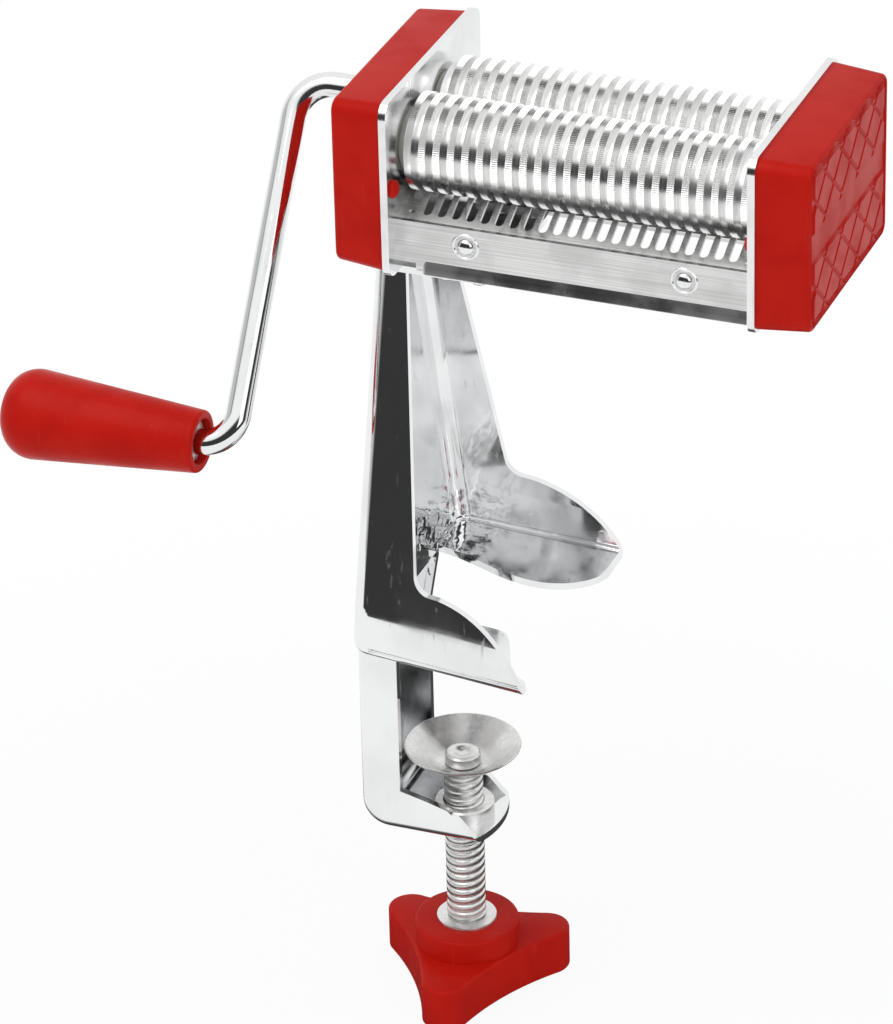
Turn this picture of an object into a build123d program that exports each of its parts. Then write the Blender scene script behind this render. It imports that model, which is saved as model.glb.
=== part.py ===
"""Hand-cranked ribbon cutter on a table clamp.

Frame: the origin is on the clamp screw's axis, in the plane of the feet's undersides, which rest
on the table top.  +Z is up, +X runs along the rollers away from the crank, and -Y is the front.
All sizes are in millimetres.
"""
import os
from math import acos, atan2, cos, pi, radians, sin, sqrt, tan

from build123d import *

os.makedirs("parts", exist_ok=True)

# ---------------------------------------------------------------- driving dimensions
# Place of the cutting head over the clamp
HEAD_X = 45.5           # middle of the head along the rollers
HEAD_Z = 137.6          # middle of the side plates above the table top

# Side plates
PLATE_GAP = 98.0        # between the plates' inner faces
PLATE_THICK = 2.0
PLATE_DEPTH = 68.0
PLATE_HEIGHT = 49.8
PLATE_CORNER = 4.0

# End caps
CAP_LENGTH = 14.3
CAP_WALL = 1.7
CAP_FACE = 2.0
CAP_MARGIN = 0.8        # plate edge left showing round the cap
CAP_DRAFT_Y = 1.4       # how much the cap narrows per side, front and back
CAP_DRAFT_Z = 0.8       # the same, top and bottom
CAP_CORNER = 3.5
CAP_EDGE = 1.2
PEG_Y = 30.3            # snap pegs, from the plate's middle
PEG_RADIUS = 1.6
PEG_HEAD_RADIUS = 2.5
PEG_HEAD_HEIGHT = 1.7
PEG_DOME_SHARE = 0.7    # rounding of a peg head, as a share of its height
PEG_BOSS_RADIUS = 3.2

# Rollers
ROLLER_SPACING = 24.0   # between the two axes
ROLLER_SHIFT_Y = -2.4   # middle of the pair from the plate's middle
ROLLER_RISE = 7.1       # axes above the plate's middle
RING_PITCH = 4.0
RING_WIDTH = 1.9
RING_RADIUS = 13.0
FRONT_RINGS = 24
GROOVE_CLEAR = 0.35     # from a ring's rim to the other roller's core
JOURNAL_RADIUS = 5.0
RUNNING_CLEAR = 0.04    # radial, journal in bush
BUSH_WALL = 1.5
BUSH_FLANGE_RADIUS = 8.5
BUSH_FLANGE_THICK = 1.0
END_PLAY = 0.2

# Gears
GEAR_MODULE = 1.0
GEAR_WIDTH = 6.0
GEAR_BACKLASH = 0.12    # taken off each tooth's thickness
PRESSURE_ANGLE = 20.0
DEDENDUM = 1.25         # root below the pitch circle, in modules
GEAR_STANDOFF = 1.0     # from the plate's outer face
JOURNAL_FLAT = 1.0      # depth of the flat that drives the gear
SEAT_CLEAR = 0.02
CLIP_THICK = 0.8
CLIP_RADIUS = 7.5
CLIP_GROOVE = 0.8       # radial depth
CLIP_MOUTH = 5.0
JOURNAL_TAIL = 1.5      # journal left beyond the clip

# Rails and combs
RAIL_OFFSET = 25.6      # rail's outer face from the middle of the roller pair
RAIL_THICK = 1.2
RAIL_HEIGHT = 15.1      # top edge above the plates' lower edge
RAIL_FLANGE = 8.0       # bottom flange, turned inward
RAIL_BEND = 2.6         # outer bend radius
RAIL_RELIEF = 5.0       # bottom flange stops this short of the plates
RELIEF_HEIGHT = 3.2
TENON_LOW = 6.9         # above the plates' lower edge
TENON_HIGH = 12.9
COMB_THICK = 0.8
COMB_FOOT = 3.9         # comb's lower edge above the plates'
COMB_GAP = 0.35         # finger tip to roller core
COMB_SIDE_CLEAR = 0.3   # finger to ring
SLOT_END = 22.6         # outer end of the slots, from the middle of the roller pair
END_SLOT_END = 18.5     # the same at the two end rings
COMB_HOLE_RADIUS = 0.9
RAIL_RIVET_X = 30.0     # from the head's middle
RAIL_RIVET_RISE = 9.9   # above the plates' lower edge
RIVET_RADIUS = 1.4
RIVET_HEAD_RADIUS = 2.2
RIVET_HEAD_HEIGHT = 1.2
RIVET_TAIL_HEIGHT = 0.7
DOME_SHARE = 0.8        # rounding of a rivet head, as a share of its height

# Crank
ROD_RADIUS = 3.5
CRANK_PLANE = -45.6     # X of the arm
CRANK_DROP = 83.0       # from the roller axis down to the grip axis
CRANK_REACH = 54.6      # from the roller axis forward to the grip axis
UPPER_BEND = 10.0
LOWER_BEND = 9.0
SOCKET_DEPTH = 12.0
SOCKET_REACH = 9.0      # journal beyond the left plate
CRANK_PIN_RADIUS = 1.0
CAP_HOLE_CLEAR = 0.4
GRIP_START = 8.7        # from the arm's plane to the grip's open end
GRIP_LENGTH = 57.0
GRIP_SMALL_RADIUS = 8.55
GRIP_LARGE_RADIUS = 12.3
GRIP_DOME = 9.0
GRIP_EDGE = 0.6
DOME_FULLNESS = 1.1     # how full the grip's end is
GRIP_CLEAR = 0.08
GRIP_RECESS_RADIUS = 6.2
GRIP_RECESS_DEPTH = 3.0
SPINDLE_DEPTH = 46.0    # spindle inside the grip
SNAP_FROM_END = 6.0
SNAP_DEPTH = 0.6
SNAP_WIDTH = 1.8
SNAP_CLEAR = 0.25
SNAP_ROOT = 0.5         # how far the snap rib is bedded in the grip
WASHER_RADIUS = 5.6
WASHER_THICK = 1.0

# Bracket, pressed from one sheet
SHEET = 2.0
WEB_X = -16.8           # outer face of the post's web
FOOT_HALF_WIDTH = 41.5  # where the flanges' planes meet the table top
FLANGE_LEAN = 0.245     # how much a flange narrows per millimetre of height
WEB_BEND = 6.0
FOOT_BEND = 3.0
HEAD_BEND = 4.0
POST_EDGE_TOP = -7.3    # X of the flanges' free edge under the head
POST_EDGE_LOW = (1.9, 21.3)
SHOULDER = (8.7, 21.0)
SHOULDER_BEND = 5.0
LEAF_CROWN = (22.6, 15.6)
LEAF_TIP_X = 34.2
FOOT_INNER = ((-14.8, 21.5), (1.3, 16.5), (12.5, 13.7), (23.0, 14.8), (31.0, 20.5), (34.5, 30.0))
TONGUE_END = 22.0
TONGUE_HALF_WIDTH = 22.4
TONGUE_FLARE = (-12.8, -6.0)
TONGUE_RIVET_X = (8.0, 17.0)
TONGUE_RIVET_INSET = 19.9   # from the middle of the roller pair
NECK_HALF_WIDTH = 20.0
NECK_DROP = 12.0
C_WEB_X = -25.8
C_EDGE_X = -13.7
C_HALF_WIDTH = 13.3
C_BEND = 3.0
C_CORNER = 8.0
ARM_BOTTOM = -71.1
ARM_TIP_X = 11.5
ARM_CORNER_X = 8.2
ARM_EDGE = ((-5.6, -59.9), (0.2, -61.6), (3.6, -64.4), (6.4, -67.6))
ARM_EDGE_START = -57.9

# Clamp screw, cup and knob
SCREW_RADIUS = 5.5
THREAD_LEAD = 2.5
THREAD_DEPTH = 0.9
THREAD_FLANKS = (0.15, 0.4, 0.6, 0.85)  # ridge within one lead: foot, crest, crest, foot
NUT_CLEAR = 0.06
NUT_RADIUS = 8.5
NUT_HEIGHT = 4.0
NUT_SPIGOT_RADIUS = 7.0
CUP_RIM_Z = -47.1
CUP_RIM_RADIUS = 16.35
CUP_FLOOR_RADIUS = 7.0
CUP_DEPTH = 6.0
CUP_SHEET = 1.2
NECK_RADIUS = 4.0
SWIVEL_CLEAR = 0.08
SWAGE_RADIUS = 5.0
SWAGE_HEIGHT = 3.4
SWAGE_CHAMFER = 0.6
SWIVEL_PLAY = 0.3
INSERT_TOP = -103.0
INSERT_FLANGE_RADIUS = 8.55
INSERT_FLANGE_THICK = 1.2
INSERT_RADIUS = 6.8
INSERT_DEPTH = 14.0
SHANK_RADIUS = 5.0
HUB_RADIUS = 14.7
HUB_RISE = 7.0
LOBE_HEIGHT = 13.0
LOBE_REACH = 29.6
LOBE_TIP_RADIUS = 6.6
LOBE_WAIST = 15.8       # from the axis to the middle of a flank between two lobes
LOBE_ANGLES = (-85.0, 35.0, 155.0)
KNOB_EDGE = 0.8

OVER = 1.0              # how far a cutting body passes the surface that it cuts
NEAR = 0.01             # two places closer than this are one
BEND_MARGIN = 0.5       # picks the channel's bend edges apart from the rest

# ---------------------------------------------------------------- places worked out from them
PAIR_Y = ROLLER_SHIFT_Y
AXIS_Z = HEAD_Z + ROLLER_RISE
FRONT_Y = PAIR_Y - ROLLER_SPACING / 2
BACK_Y = PAIR_Y + ROLLER_SPACING / 2
CORE_RADIUS = ROLLER_SPACING - RING_RADIUS - GROOVE_CLEAR
BUSH_RADIUS = JOURNAL_RADIUS + RUNNING_CLEAR + BUSH_WALL
FRONT_RING_X = [HEAD_X + RING_PITCH * (i - (FRONT_RINGS - 1) / 2) for i in range(FRONT_RINGS)]
BACK_RING_X = [x + RING_PITCH / 2 for x in FRONT_RING_X[:-1]]
GEAR_TEETH = round(ROLLER_SPACING / GEAR_MODULE)
PLATE_BOTTOM = HEAD_Z - PLATE_HEIGHT / 2
GRIP_Y = BACK_Y - CRANK_REACH
GRIP_Z = AXIS_Z - CRANK_DROP
GRIP_X = CRANK_PLANE - GRIP_START
POST_TOP = PLATE_BOTTOM
ARM_FLOOR = ARM_BOTTOM + SHEET
CUP_FLOOR = CUP_RIM_Z - CUP_DEPTH
SCREW_TOP = CUP_FLOOR + SWIVEL_PLAY / 2 + SWAGE_HEIGHT
SCREW_SHOULDER = CUP_FLOOR - CUP_SHEET - SWIVEL_PLAY / 2
HUB_TOP = INSERT_TOP - INSERT_FLANGE_THICK
LOBE_TOP = HUB_TOP - HUB_RISE
KNOB_BOTTOM = LOBE_TOP - LOBE_HEIGHT
LEFT, RIGHT = -1, 1
FRONT, BACK = -1, 1


def plate_inner(side):
    """X of a side plate's inner face."""
    return HEAD_X + side * PLATE_GAP / 2


def plate_outer(side):
    """X of a side plate's outer face."""
    return plate_inner(side) + side * PLATE_THICK


def cap_face(side):
    """X of an end cap's outer face."""
    return plate_outer(side) + side * CAP_LENGTH


# ---------------------------------------------------------------- helpers
def block(x, y, z):
    """Box between pairs of limits."""
    size = Box(abs(x[1] - x[0]), abs(y[1] - y[0]), abs(z[1] - z[0]))
    return Pos((x[0] + x[1]) / 2, (y[0] + y[1]) / 2, (z[0] + z[1]) / 2) * size


def rod_x(x, y, z, radius):
    """Cylinder along X between two limits."""
    return Pos((x[0] + x[1]) / 2, y, z) * Rot(0, 90, 0) * Cylinder(radius, abs(x[1] - x[0]))


def rod_z(z, radius, x=0.0, y=0.0):
    """Cylinder along Z between two limits."""
    return Pos(x, y, (z[0] + z[1]) / 2) * Cylinder(radius, abs(z[1] - z[0]))


def side_slab(outline, half_width):
    """Outline of (x, z) points, extruded both ways along Y."""
    return extrude(make_face(Plane.XZ * outline), half_width, both=True)


def head_section(points, x):
    """Polygon of (y, z) points, extruded along X between two limits."""
    face = make_face(Polyline(*[(x[0], y, z) for y, z in points], close=True))
    return extrude(face, x[1] - x[0], dir=(1, 0, 0))


def rivet(head_x, head_y, head_z, direction, grip):
    """Dome rivet: its head sits on the point given, its shank runs along the direction."""
    plane = Plane(origin=(head_x, head_y, head_z), z_dir=direction)
    head = Pos(0, 0, -RIVET_HEAD_HEIGHT / 2) * Cylinder(RIVET_HEAD_RADIUS, RIVET_HEAD_HEIGHT)
    head = fillet(head.edges().group_by(Axis.Z)[0], RIVET_HEAD_HEIGHT * DOME_SHARE)
    shank = Pos(0, 0, grip / 2) * Cylinder(RIVET_RADIUS, grip)
    tail_radius = (RIVET_RADIUS + RIVET_HEAD_RADIUS) / 2
    tail = Pos(0, 0, grip + RIVET_TAIL_HEIGHT / 2) * Cylinder(tail_radius, RIVET_TAIL_HEIGHT)
    return plane * (head + shank + tail)


def save(name, shape):
    """Write one node."""
    export_step(shape, f"parts/{name}.step")


# ---------------------------------------------------------------- side plates
def rail_y(way, inset=0.0):
    """Y of a rail's outer face, or of a line that lies inward of it."""
    return PAIR_Y + way * (RAIL_OFFSET - inset)


def side_plate(side):
    """Plate with bush holes, peg holes and the slots for the rails' tenons."""
    x = sorted((plate_inner(side), plate_outer(side)))
    plane = Plane(origin=(x[0], 0, HEAD_Z), x_dir=(0, 1, 0), z_dir=(1, 0, 0))
    face = plane * RectangleRounded(PLATE_DEPTH, PLATE_HEIGHT, PLATE_CORNER)
    plate = extrude(face, PLATE_THICK)
    for y in (FRONT_Y, BACK_Y):
        plate -= rod_x(x, y, AXIS_Z, BUSH_RADIUS)
    for y in (-PEG_Y, PEG_Y):
        plate -= rod_x(x, y, HEAD_Z, PEG_RADIUS + RUNNING_CLEAR)
    for way in (FRONT, BACK):
        slot_y = (rail_y(way), rail_y(way, RAIL_THICK))
        plate -= block(x, slot_y, (PLATE_BOTTOM + TENON_LOW, PLATE_BOTTOM + TENON_HIGH))
    return plate


# ---------------------------------------------------------------- end caps
def cap_section(x, inset, draft):
    """Rounded rectangle in a plane across X, inset by a wall and by a share of the draft."""
    width = PLATE_DEPTH - 2 * (CAP_MARGIN + inset + draft * CAP_DRAFT_Y)
    height = PLATE_HEIGHT - 2 * (CAP_MARGIN + inset + draft * CAP_DRAFT_Z)
    corner = CAP_CORNER - inset
    plane = Plane(origin=(x, 0, HEAD_Z), x_dir=(0, 1, 0), z_dir=(1, 0, 0))
    return plane * RectangleRounded(width, height, corner)


def cap_loft(side, end, inset, end_draft):
    """Drafted block from the plate's outer face to an end plane."""
    sections = [cap_section(plate_outer(side), inset, 0), cap_section(end, inset, end_draft)]
    return loft(sections if side == RIGHT else sections[::-1], ruled=True)


def end_cap(side):
    """Drafted cap, open towards its plate, with two pegs moulded to it."""
    rim, face = plate_outer(side), cap_face(side)
    shell = cap_loft(side, face, 0, 1)
    outer_edges = shell.faces().sort_by(Axis.X)[-1 if side == RIGHT else 0].edges()
    shell = fillet(outer_edges, CAP_EDGE)
    inner_face = face - side * CAP_FACE
    depth_share = (CAP_LENGTH - CAP_FACE) / CAP_LENGTH
    shell -= cap_loft(side, inner_face, CAP_WALL, depth_share)
    for y in (-PEG_Y, PEG_Y):
        boss = rod_x((rim, inner_face + side * CAP_FACE / 2), y, HEAD_Z, PEG_BOSS_RADIUS)
        boss &= cap_loft(side, face, CAP_WALL / 2, 1)
        pin = rod_x((rim, plate_inner(side)), y, HEAD_Z, PEG_RADIUS)
        tip = plate_inner(side) - side * PEG_HEAD_HEIGHT
        head = rod_x((plate_inner(side), tip), y, HEAD_Z, PEG_HEAD_RADIUS)
        rim_edge = head.edges().sort_by(Axis.X)[0 if side == RIGHT else -1]
        shell += boss + pin + fillet(rim_edge, PEG_HEAD_HEIGHT * PEG_DOME_SHARE)
    if side == LEFT:
        shell -= rod_x((face - OVER, face + CAP_FACE + OVER), BACK_Y, AXIS_Z, ROD_RADIUS + CAP_HOLE_CLEAR)
    return shell


# ---------------------------------------------------------------- rollers, bushes, gears
SHOULDER_X = PLATE_GAP / 2 - BUSH_FLANGE_THICK - END_PLAY
GEAR_IN = plate_outer(RIGHT) + GEAR_STANDOFF
GEAR_OUT = GEAR_IN + GEAR_WIDTH
CLIP_OUT = GEAR_OUT + CLIP_THICK
JOURNAL_RIGHT = CLIP_OUT + JOURNAL_TAIL
JOURNAL_LEFT = plate_outer(LEFT) - SOCKET_REACH


def flat_cut(x, y):
    """What a journal's driving flat takes away."""
    top = AXIS_Z + JOURNAL_RADIUS
    return block(x, (y - JOURNAL_RADIUS, y + JOURNAL_RADIUS), (top - JOURNAL_FLAT, top))


def roller(y, ring_places):
    """Core, rings and journals, turned from one bar."""
    body = rod_x((HEAD_X - SHOULDER_X, HEAD_X + SHOULDER_X), y, AXIS_Z, CORE_RADIUS)
    for x in ring_places:
        body += rod_x((x - RING_WIDTH / 2, x + RING_WIDTH / 2), y, AXIS_Z, RING_RADIUS)
    body += rod_x((JOURNAL_LEFT, JOURNAL_RIGHT), y, AXIS_Z, JOURNAL_RADIUS)
    body -= flat_cut((GEAR_IN, GEAR_OUT), y)
    groove = rod_x((GEAR_OUT, CLIP_OUT), y, AXIS_Z, JOURNAL_RADIUS + OVER)
    groove -= rod_x((GEAR_OUT, CLIP_OUT), y, AXIS_Z, JOURNAL_RADIUS - CLIP_GROOVE)
    return body - groove


def bush(side, y):
    """Flanged bush, pressed into its plate from inside."""
    inner = plate_inner(side)
    flange = inner - side * BUSH_FLANGE_THICK
    body = rod_x((inner, plate_outer(side)), y, AXIS_Z, BUSH_RADIUS)
    body += rod_x((inner, flange), y, AXIS_Z, BUSH_FLANGE_RADIUS)
    bore = (flange - side * OVER, plate_outer(side) + side * OVER)
    return body - rod_x(bore, y, AXIS_Z, JOURNAL_RADIUS + RUNNING_CLEAR)


def involute(angle):
    """Involute function of a pressure angle in radians."""
    return tan(angle) - angle


def gear(y, phase):
    """Spur gear in the plane across X; phase is in tooth pitches."""
    pitch_radius = GEAR_MODULE * GEAR_TEETH / 2
    base_radius = pitch_radius * cos(radians(PRESSURE_ANGLE))
    tip_radius = pitch_radius + GEAR_MODULE
    root_radius = pitch_radius - DEDENDUM * GEAR_MODULE
    half_tooth = pi / (2 * GEAR_TEETH) - GEAR_BACKLASH / (2 * pitch_radius)
    flank = [max(base_radius, root_radius), pitch_radius, (pitch_radius + tip_radius) / 2, tip_radius]

    def half_angle(radius):
        return half_tooth + involute(radians(PRESSURE_ANGLE)) - involute(acos(base_radius / radius))

    points = []
    for tooth in range(GEAR_TEETH):
        middle = 2 * pi * (tooth + phase) / GEAR_TEETH
        side_angles = [half_angle(radius) for radius in flank]
        rising = [(root_radius, -side_angles[0])] + [(r, -a) for r, a in zip(flank, side_angles)]
        for radius, angle in rising + [(r, -a) for r, a in reversed(rising)]:
            points.append((y + radius * cos(middle + angle), AXIS_Z + radius * sin(middle + angle)))
    body = head_section(points, (GEAR_IN, GEAR_OUT))
    bore = rod_x((GEAR_IN - OVER, GEAR_OUT + OVER), y, AXIS_Z, JOURNAL_RADIUS + SEAT_CLEAR)
    flat = Pos(0, 0, SEAT_CLEAR) * flat_cut((GEAR_IN - OVER, GEAR_OUT + OVER), y)
    return body - (bore - flat)


def gear_clip(y):
    """Open snap ring in the journal's groove."""
    x = (GEAR_OUT, CLIP_OUT)
    ring = rod_x(x, y, AXIS_Z, CLIP_RADIUS) - rod_x(x, y, AXIS_Z, JOURNAL_RADIUS - CLIP_GROOVE)
    mouth = block(x, (y - CLIP_MOUTH / 2, y + CLIP_MOUTH / 2), (AXIS_Z - CLIP_RADIUS - OVER, AXIS_Z))
    return ring - mouth


# ---------------------------------------------------------------- rails and combs
def rail(way):
    """Bent sheet between the plates, with a tenon at each end."""
    outer = rail_y(way)
    inner = rail_y(way, RAIL_THICK)
    top, bottom = PLATE_BOTTOM + RAIL_HEIGHT, PLATE_BOTTOM
    x = (plate_inner(LEFT), plate_inner(RIGHT))
    body = block(x, (outer, rail_y(way, RAIL_FLANGE)), (bottom, top))
    outer_edge = body.edges().filter_by(Axis.X).group_by(Axis.Z)[0].sort_by(Axis.Y)
    body = fillet(outer_edge[0 if way == FRONT else -1], RAIL_BEND)
    hollow = block(x, (inner, rail_y(way, 2 * RAIL_FLANGE)), (bottom + RAIL_THICK, top + RAIL_BEND))
    inner_edge = hollow.edges().filter_by(Axis.X).group_by(Axis.Z)[0].sort_by(Axis.Y)
    body -= fillet(inner_edge[0 if way == FRONT else -1], RAIL_BEND - RAIL_THICK)
    relief_z = (bottom - OVER, bottom + RELIEF_HEIGHT)
    wide = (outer + way * OVER, rail_y(way, 2 * RAIL_FLANGE))
    for side in (LEFT, RIGHT):
        body -= block((plate_inner(side), plate_inner(side) - side * RAIL_RELIEF), wide, relief_z)
        body += block((plate_inner(side), plate_outer(side)), (outer, inner),
                      (PLATE_BOTTOM + TENON_LOW, PLATE_BOTTOM + TENON_HIGH))
        body -= rivet_hole(side, way)
    for x_rivet in TONGUE_RIVET_X:
        body -= rod_z((bottom - OVER, bottom + RAIL_THICK + OVER), RIVET_RADIUS, x_rivet,
                      PAIR_Y + way * TONGUE_RIVET_INSET)
    return body


def rivet_hole(side, way):
    """Hole for a comb rivet, through the rail and the comb."""
    reach = RAIL_THICK + COMB_THICK + 2 * OVER
    hole = Rot(90, 0, 0) * Cylinder(RIVET_RADIUS, 2 * reach)
    return Pos(HEAD_X + side * RAIL_RIVET_X, rail_y(way), PLATE_BOTTOM + RAIL_RIVET_RISE) * hole


def comb(way, ring_places):
    """Stripper sheet: one finger in every groove of its roller, one slot for every ring."""
    wall = RAIL_OFFSET - RAIL_THICK
    tip = ROLLER_SPACING / 2
    tip_z = AXIS_Z - CORE_RADIUS - COMB_GAP
    crease_z = PLATE_BOTTOM + RAIL_HEIGHT
    section = [(wall, PLATE_BOTTOM + COMB_FOOT), (wall, crease_z), (tip, tip_z), (tip, tip_z - COMB_THICK),
               (wall - COMB_THICK, crease_z - COMB_THICK), (wall - COMB_THICK, PLATE_BOTTOM + COMB_FOOT)]
    body = head_section([(PAIR_Y + way * w, z) for w, z in section],
                        (plate_inner(LEFT), plate_inner(RIGHT)))
    half_slot = RING_WIDTH / 2 + COMB_SIDE_CLEAR
    z = (crease_z - 2 * COMB_THICK, tip_z + OVER)
    for x in ring_places:
        end_ring = x in (ring_places[0], ring_places[-1])
        reach = (END_SLOT_END if end_ring else SLOT_END) - half_slot
        body -= block((x - half_slot, x + half_slot), (PAIR_Y + way * (tip - OVER), PAIR_Y + way * reach), z)
        body -= rod_z(z, half_slot, x, PAIR_Y + way * reach)
        if end_ring:
            hole_y = PAIR_Y + way * (SLOT_END - COMB_HOLE_RADIUS)
            body -= rod_z(z, COMB_HOLE_RADIUS, x, hole_y)
    for side in (LEFT, RIGHT):
        body -= rivet_hole(side, way)
    return body


def comb_rivets(way):
    """Two rivets that hold a comb to its rail."""
    return [rivet(HEAD_X + side * RAIL_RIVET_X, rail_y(way), PLATE_BOTTOM + RAIL_RIVET_RISE,
                  (0, -way, 0), RAIL_THICK + COMB_THICK) for side in (LEFT, RIGHT)]


# ---------------------------------------------------------------- crank
SOCKET_END = JOURNAL_LEFT + SOCKET_DEPTH
SPINDLE_END = GRIP_X - SPINDLE_DEPTH
CRANK_PIN_X = (JOURNAL_LEFT + plate_outer(LEFT)) / 2


def crank_pin():
    """Cross pin through the journal and the rod."""
    return rod_z((AXIS_Z - JOURNAL_RADIUS, AXIS_Z + JOURNAL_RADIUS), CRANK_PIN_RADIUS,
                 CRANK_PIN_X, BACK_Y)


def crank_arm():
    """One bent rod: shaft, arm and grip spindle."""
    route = FilletPolyline((SOCKET_END, BACK_Y, AXIS_Z), (CRANK_PLANE, BACK_Y, AXIS_Z),
                           (CRANK_PLANE, GRIP_Y, GRIP_Z), (SPINDLE_END, GRIP_Y, GRIP_Z),
                           radius=[UPPER_BEND, LOWER_BEND])
    section = Plane(origin=(SOCKET_END, BACK_Y, AXIS_Z), z_dir=(-1, 0, 0)) * Circle(ROD_RADIUS)
    body = sweep(section, path=route)
    snap = snap_band(SNAP_WIDTH / 2 + SNAP_CLEAR)
    band = rod_x(snap, GRIP_Y, GRIP_Z, ROD_RADIUS + OVER)
    body -= band - rod_x(snap, GRIP_Y, GRIP_Z, ROD_RADIUS - SNAP_DEPTH)
    return body - crank_pin()


def snap_band(half_width):
    """X limits of the band where the grip snaps onto the spindle."""
    middle = SPINDLE_END + SNAP_FROM_END
    return (middle - half_width, middle + half_width)


def crank_grip():
    """Moulded grip: a cone with a domed end, bored for the spindle."""
    cone = GRIP_LENGTH - GRIP_DOME
    start = (GRIP_X, 0)
    outline = Polyline(start, (GRIP_X, GRIP_SMALL_RADIUS), (GRIP_X - cone, GRIP_LARGE_RADIUS))
    dome = Spline((GRIP_X - cone, GRIP_LARGE_RADIUS), (GRIP_X - GRIP_LENGTH, 0),
                  tangents=[(-1, 0), (0, -1)], tangent_scalars=(DOME_FULLNESS, DOME_FULLNESS))
    closing = Line((GRIP_X - GRIP_LENGTH, 0), start)
    profile = Plane.XZ * make_face(outline + dome + closing)
    body = revolve(profile, Axis.X)
    small_end = body.edges().group_by(Axis.X)[-1]
    body = Pos(0, GRIP_Y, GRIP_Z) * fillet(small_end, GRIP_EDGE)
    bore = rod_x((GRIP_X + OVER, SPINDLE_END - OVER), GRIP_Y, GRIP_Z, ROD_RADIUS + GRIP_CLEAR)
    recess = rod_x((GRIP_X + OVER, GRIP_X - GRIP_RECESS_DEPTH), GRIP_Y, GRIP_Z, GRIP_RECESS_RADIUS)
    rib = snap_band(SNAP_WIDTH / 2)
    rib_ring = rod_x(rib, GRIP_Y, GRIP_Z, ROD_RADIUS + GRIP_CLEAR + SNAP_ROOT)
    rib_ring -= rod_x(rib, GRIP_Y, GRIP_Z, ROD_RADIUS - SNAP_DEPTH + GRIP_CLEAR)
    return body - bore - recess + rib_ring


def grip_washer():
    """Washer on the spindle, in the grip's recess."""
    x = (GRIP_X - GRIP_RECESS_DEPTH + SWIVEL_CLEAR, GRIP_X - GRIP_RECESS_DEPTH + SWIVEL_CLEAR + WASHER_THICK)
    return rod_x(x, GRIP_Y, GRIP_Z, WASHER_RADIUS) - rod_x(x, GRIP_Y, GRIP_Z, ROD_RADIUS + SEAT_CLEAR)


# ---------------------------------------------------------------- bracket
def flange_y(z, inset=0.0):
    """Half width of the post at a height, less an inset."""
    return FOOT_HALF_WIDTH - FLANGE_LEAN * z - inset


def post_prism(inset, reach):
    """Tapered prism of the post: its outer skin, or its inside when inset by the sheet."""
    low, high = inset, POST_TOP - inset
    lean = inset * sqrt(1 + FLANGE_LEAN ** 2)
    points = [(-flange_y(low, lean), low), (flange_y(low, lean), low),
              (flange_y(high, lean), high), (-flange_y(high, lean), high)]
    prism = head_section(points, (WEB_X + inset, reach))
    web_edges = prism.edges().group_by(Axis.X)[0]
    slanted = web_edges.group_by(Axis.Z)[1]
    prism = fillet(slanted, WEB_BEND - inset)
    long_edges = prism.edges().filter_by(Axis.X).group_by(Axis.Z)
    prism = fillet(long_edges[-1], HEAD_BEND - inset)
    long_edges = prism.edges().filter_by(Axis.X).group_by(Axis.Z)
    return fillet(long_edges[0], FOOT_BEND - inset)


def post():
    """Channel with leaf-shaped feet: flanges and floor cut to their outlines."""
    reach = LEAF_TIP_X + SHEET
    body = post_prism(0, reach) - post_prism(SHEET, reach + OVER)
    edge = FilletPolyline((POST_EDGE_TOP, POST_TOP + OVER), POST_EDGE_LOW, SHOULDER, radius=SHOULDER_BEND)
    leaf = ThreePointArc(SHOULDER, LEAF_CROWN, (LEAF_TIP_X, 0))
    frame = Polyline((LEAF_TIP_X, 0), (LEAF_TIP_X, -OVER), (reach + OVER, -OVER),
                     (reach + OVER, POST_TOP + OVER), (POST_EDGE_TOP, POST_TOP + OVER))
    body -= side_slab(edge + leaf + frame, FOOT_HALF_WIDTH + OVER)
    return body - feet_gap()


def feet_gap():
    """The opening between the two feet, seen from above."""
    points = list(FOOT_INNER)
    right = Spline(*points)
    left = Spline(*[(x, -y) for x, y in points])
    (x_last, y_last), (x_first, y_first) = points[-1], points[0]
    tip = Polyline((x_last, y_last), (x_last + SHEET, y_last), (x_last + SHEET, -y_last), (x_last, -y_last))
    heel = Line((x_first, y_first), (x_first, -y_first))
    face = make_face(right + tip + left + heel)
    return extrude(Pos(0, 0, -OVER) * face, SHEET + 2 * OVER)


def tongue():
    """Head tongue, riveted under the rails."""
    narrow = flange_y(POST_TOP)
    low, high = PAIR_Y - TONGUE_HALF_WIDTH, PAIR_Y + TONGUE_HALF_WIDTH
    start, full = TONGUE_FLARE
    plan = Polyline((start, -narrow), (full, low), (TONGUE_END, low), (TONGUE_END, high), (full, high),
                    (start, narrow), close=True)
    body = extrude(Pos(0, 0, POST_TOP - SHEET) * make_face(plan), SHEET)
    corners = body.edges().filter_by(Axis.Z).group_by(Axis.X)[-1]
    return fillet(corners, WEB_BEND)


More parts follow.
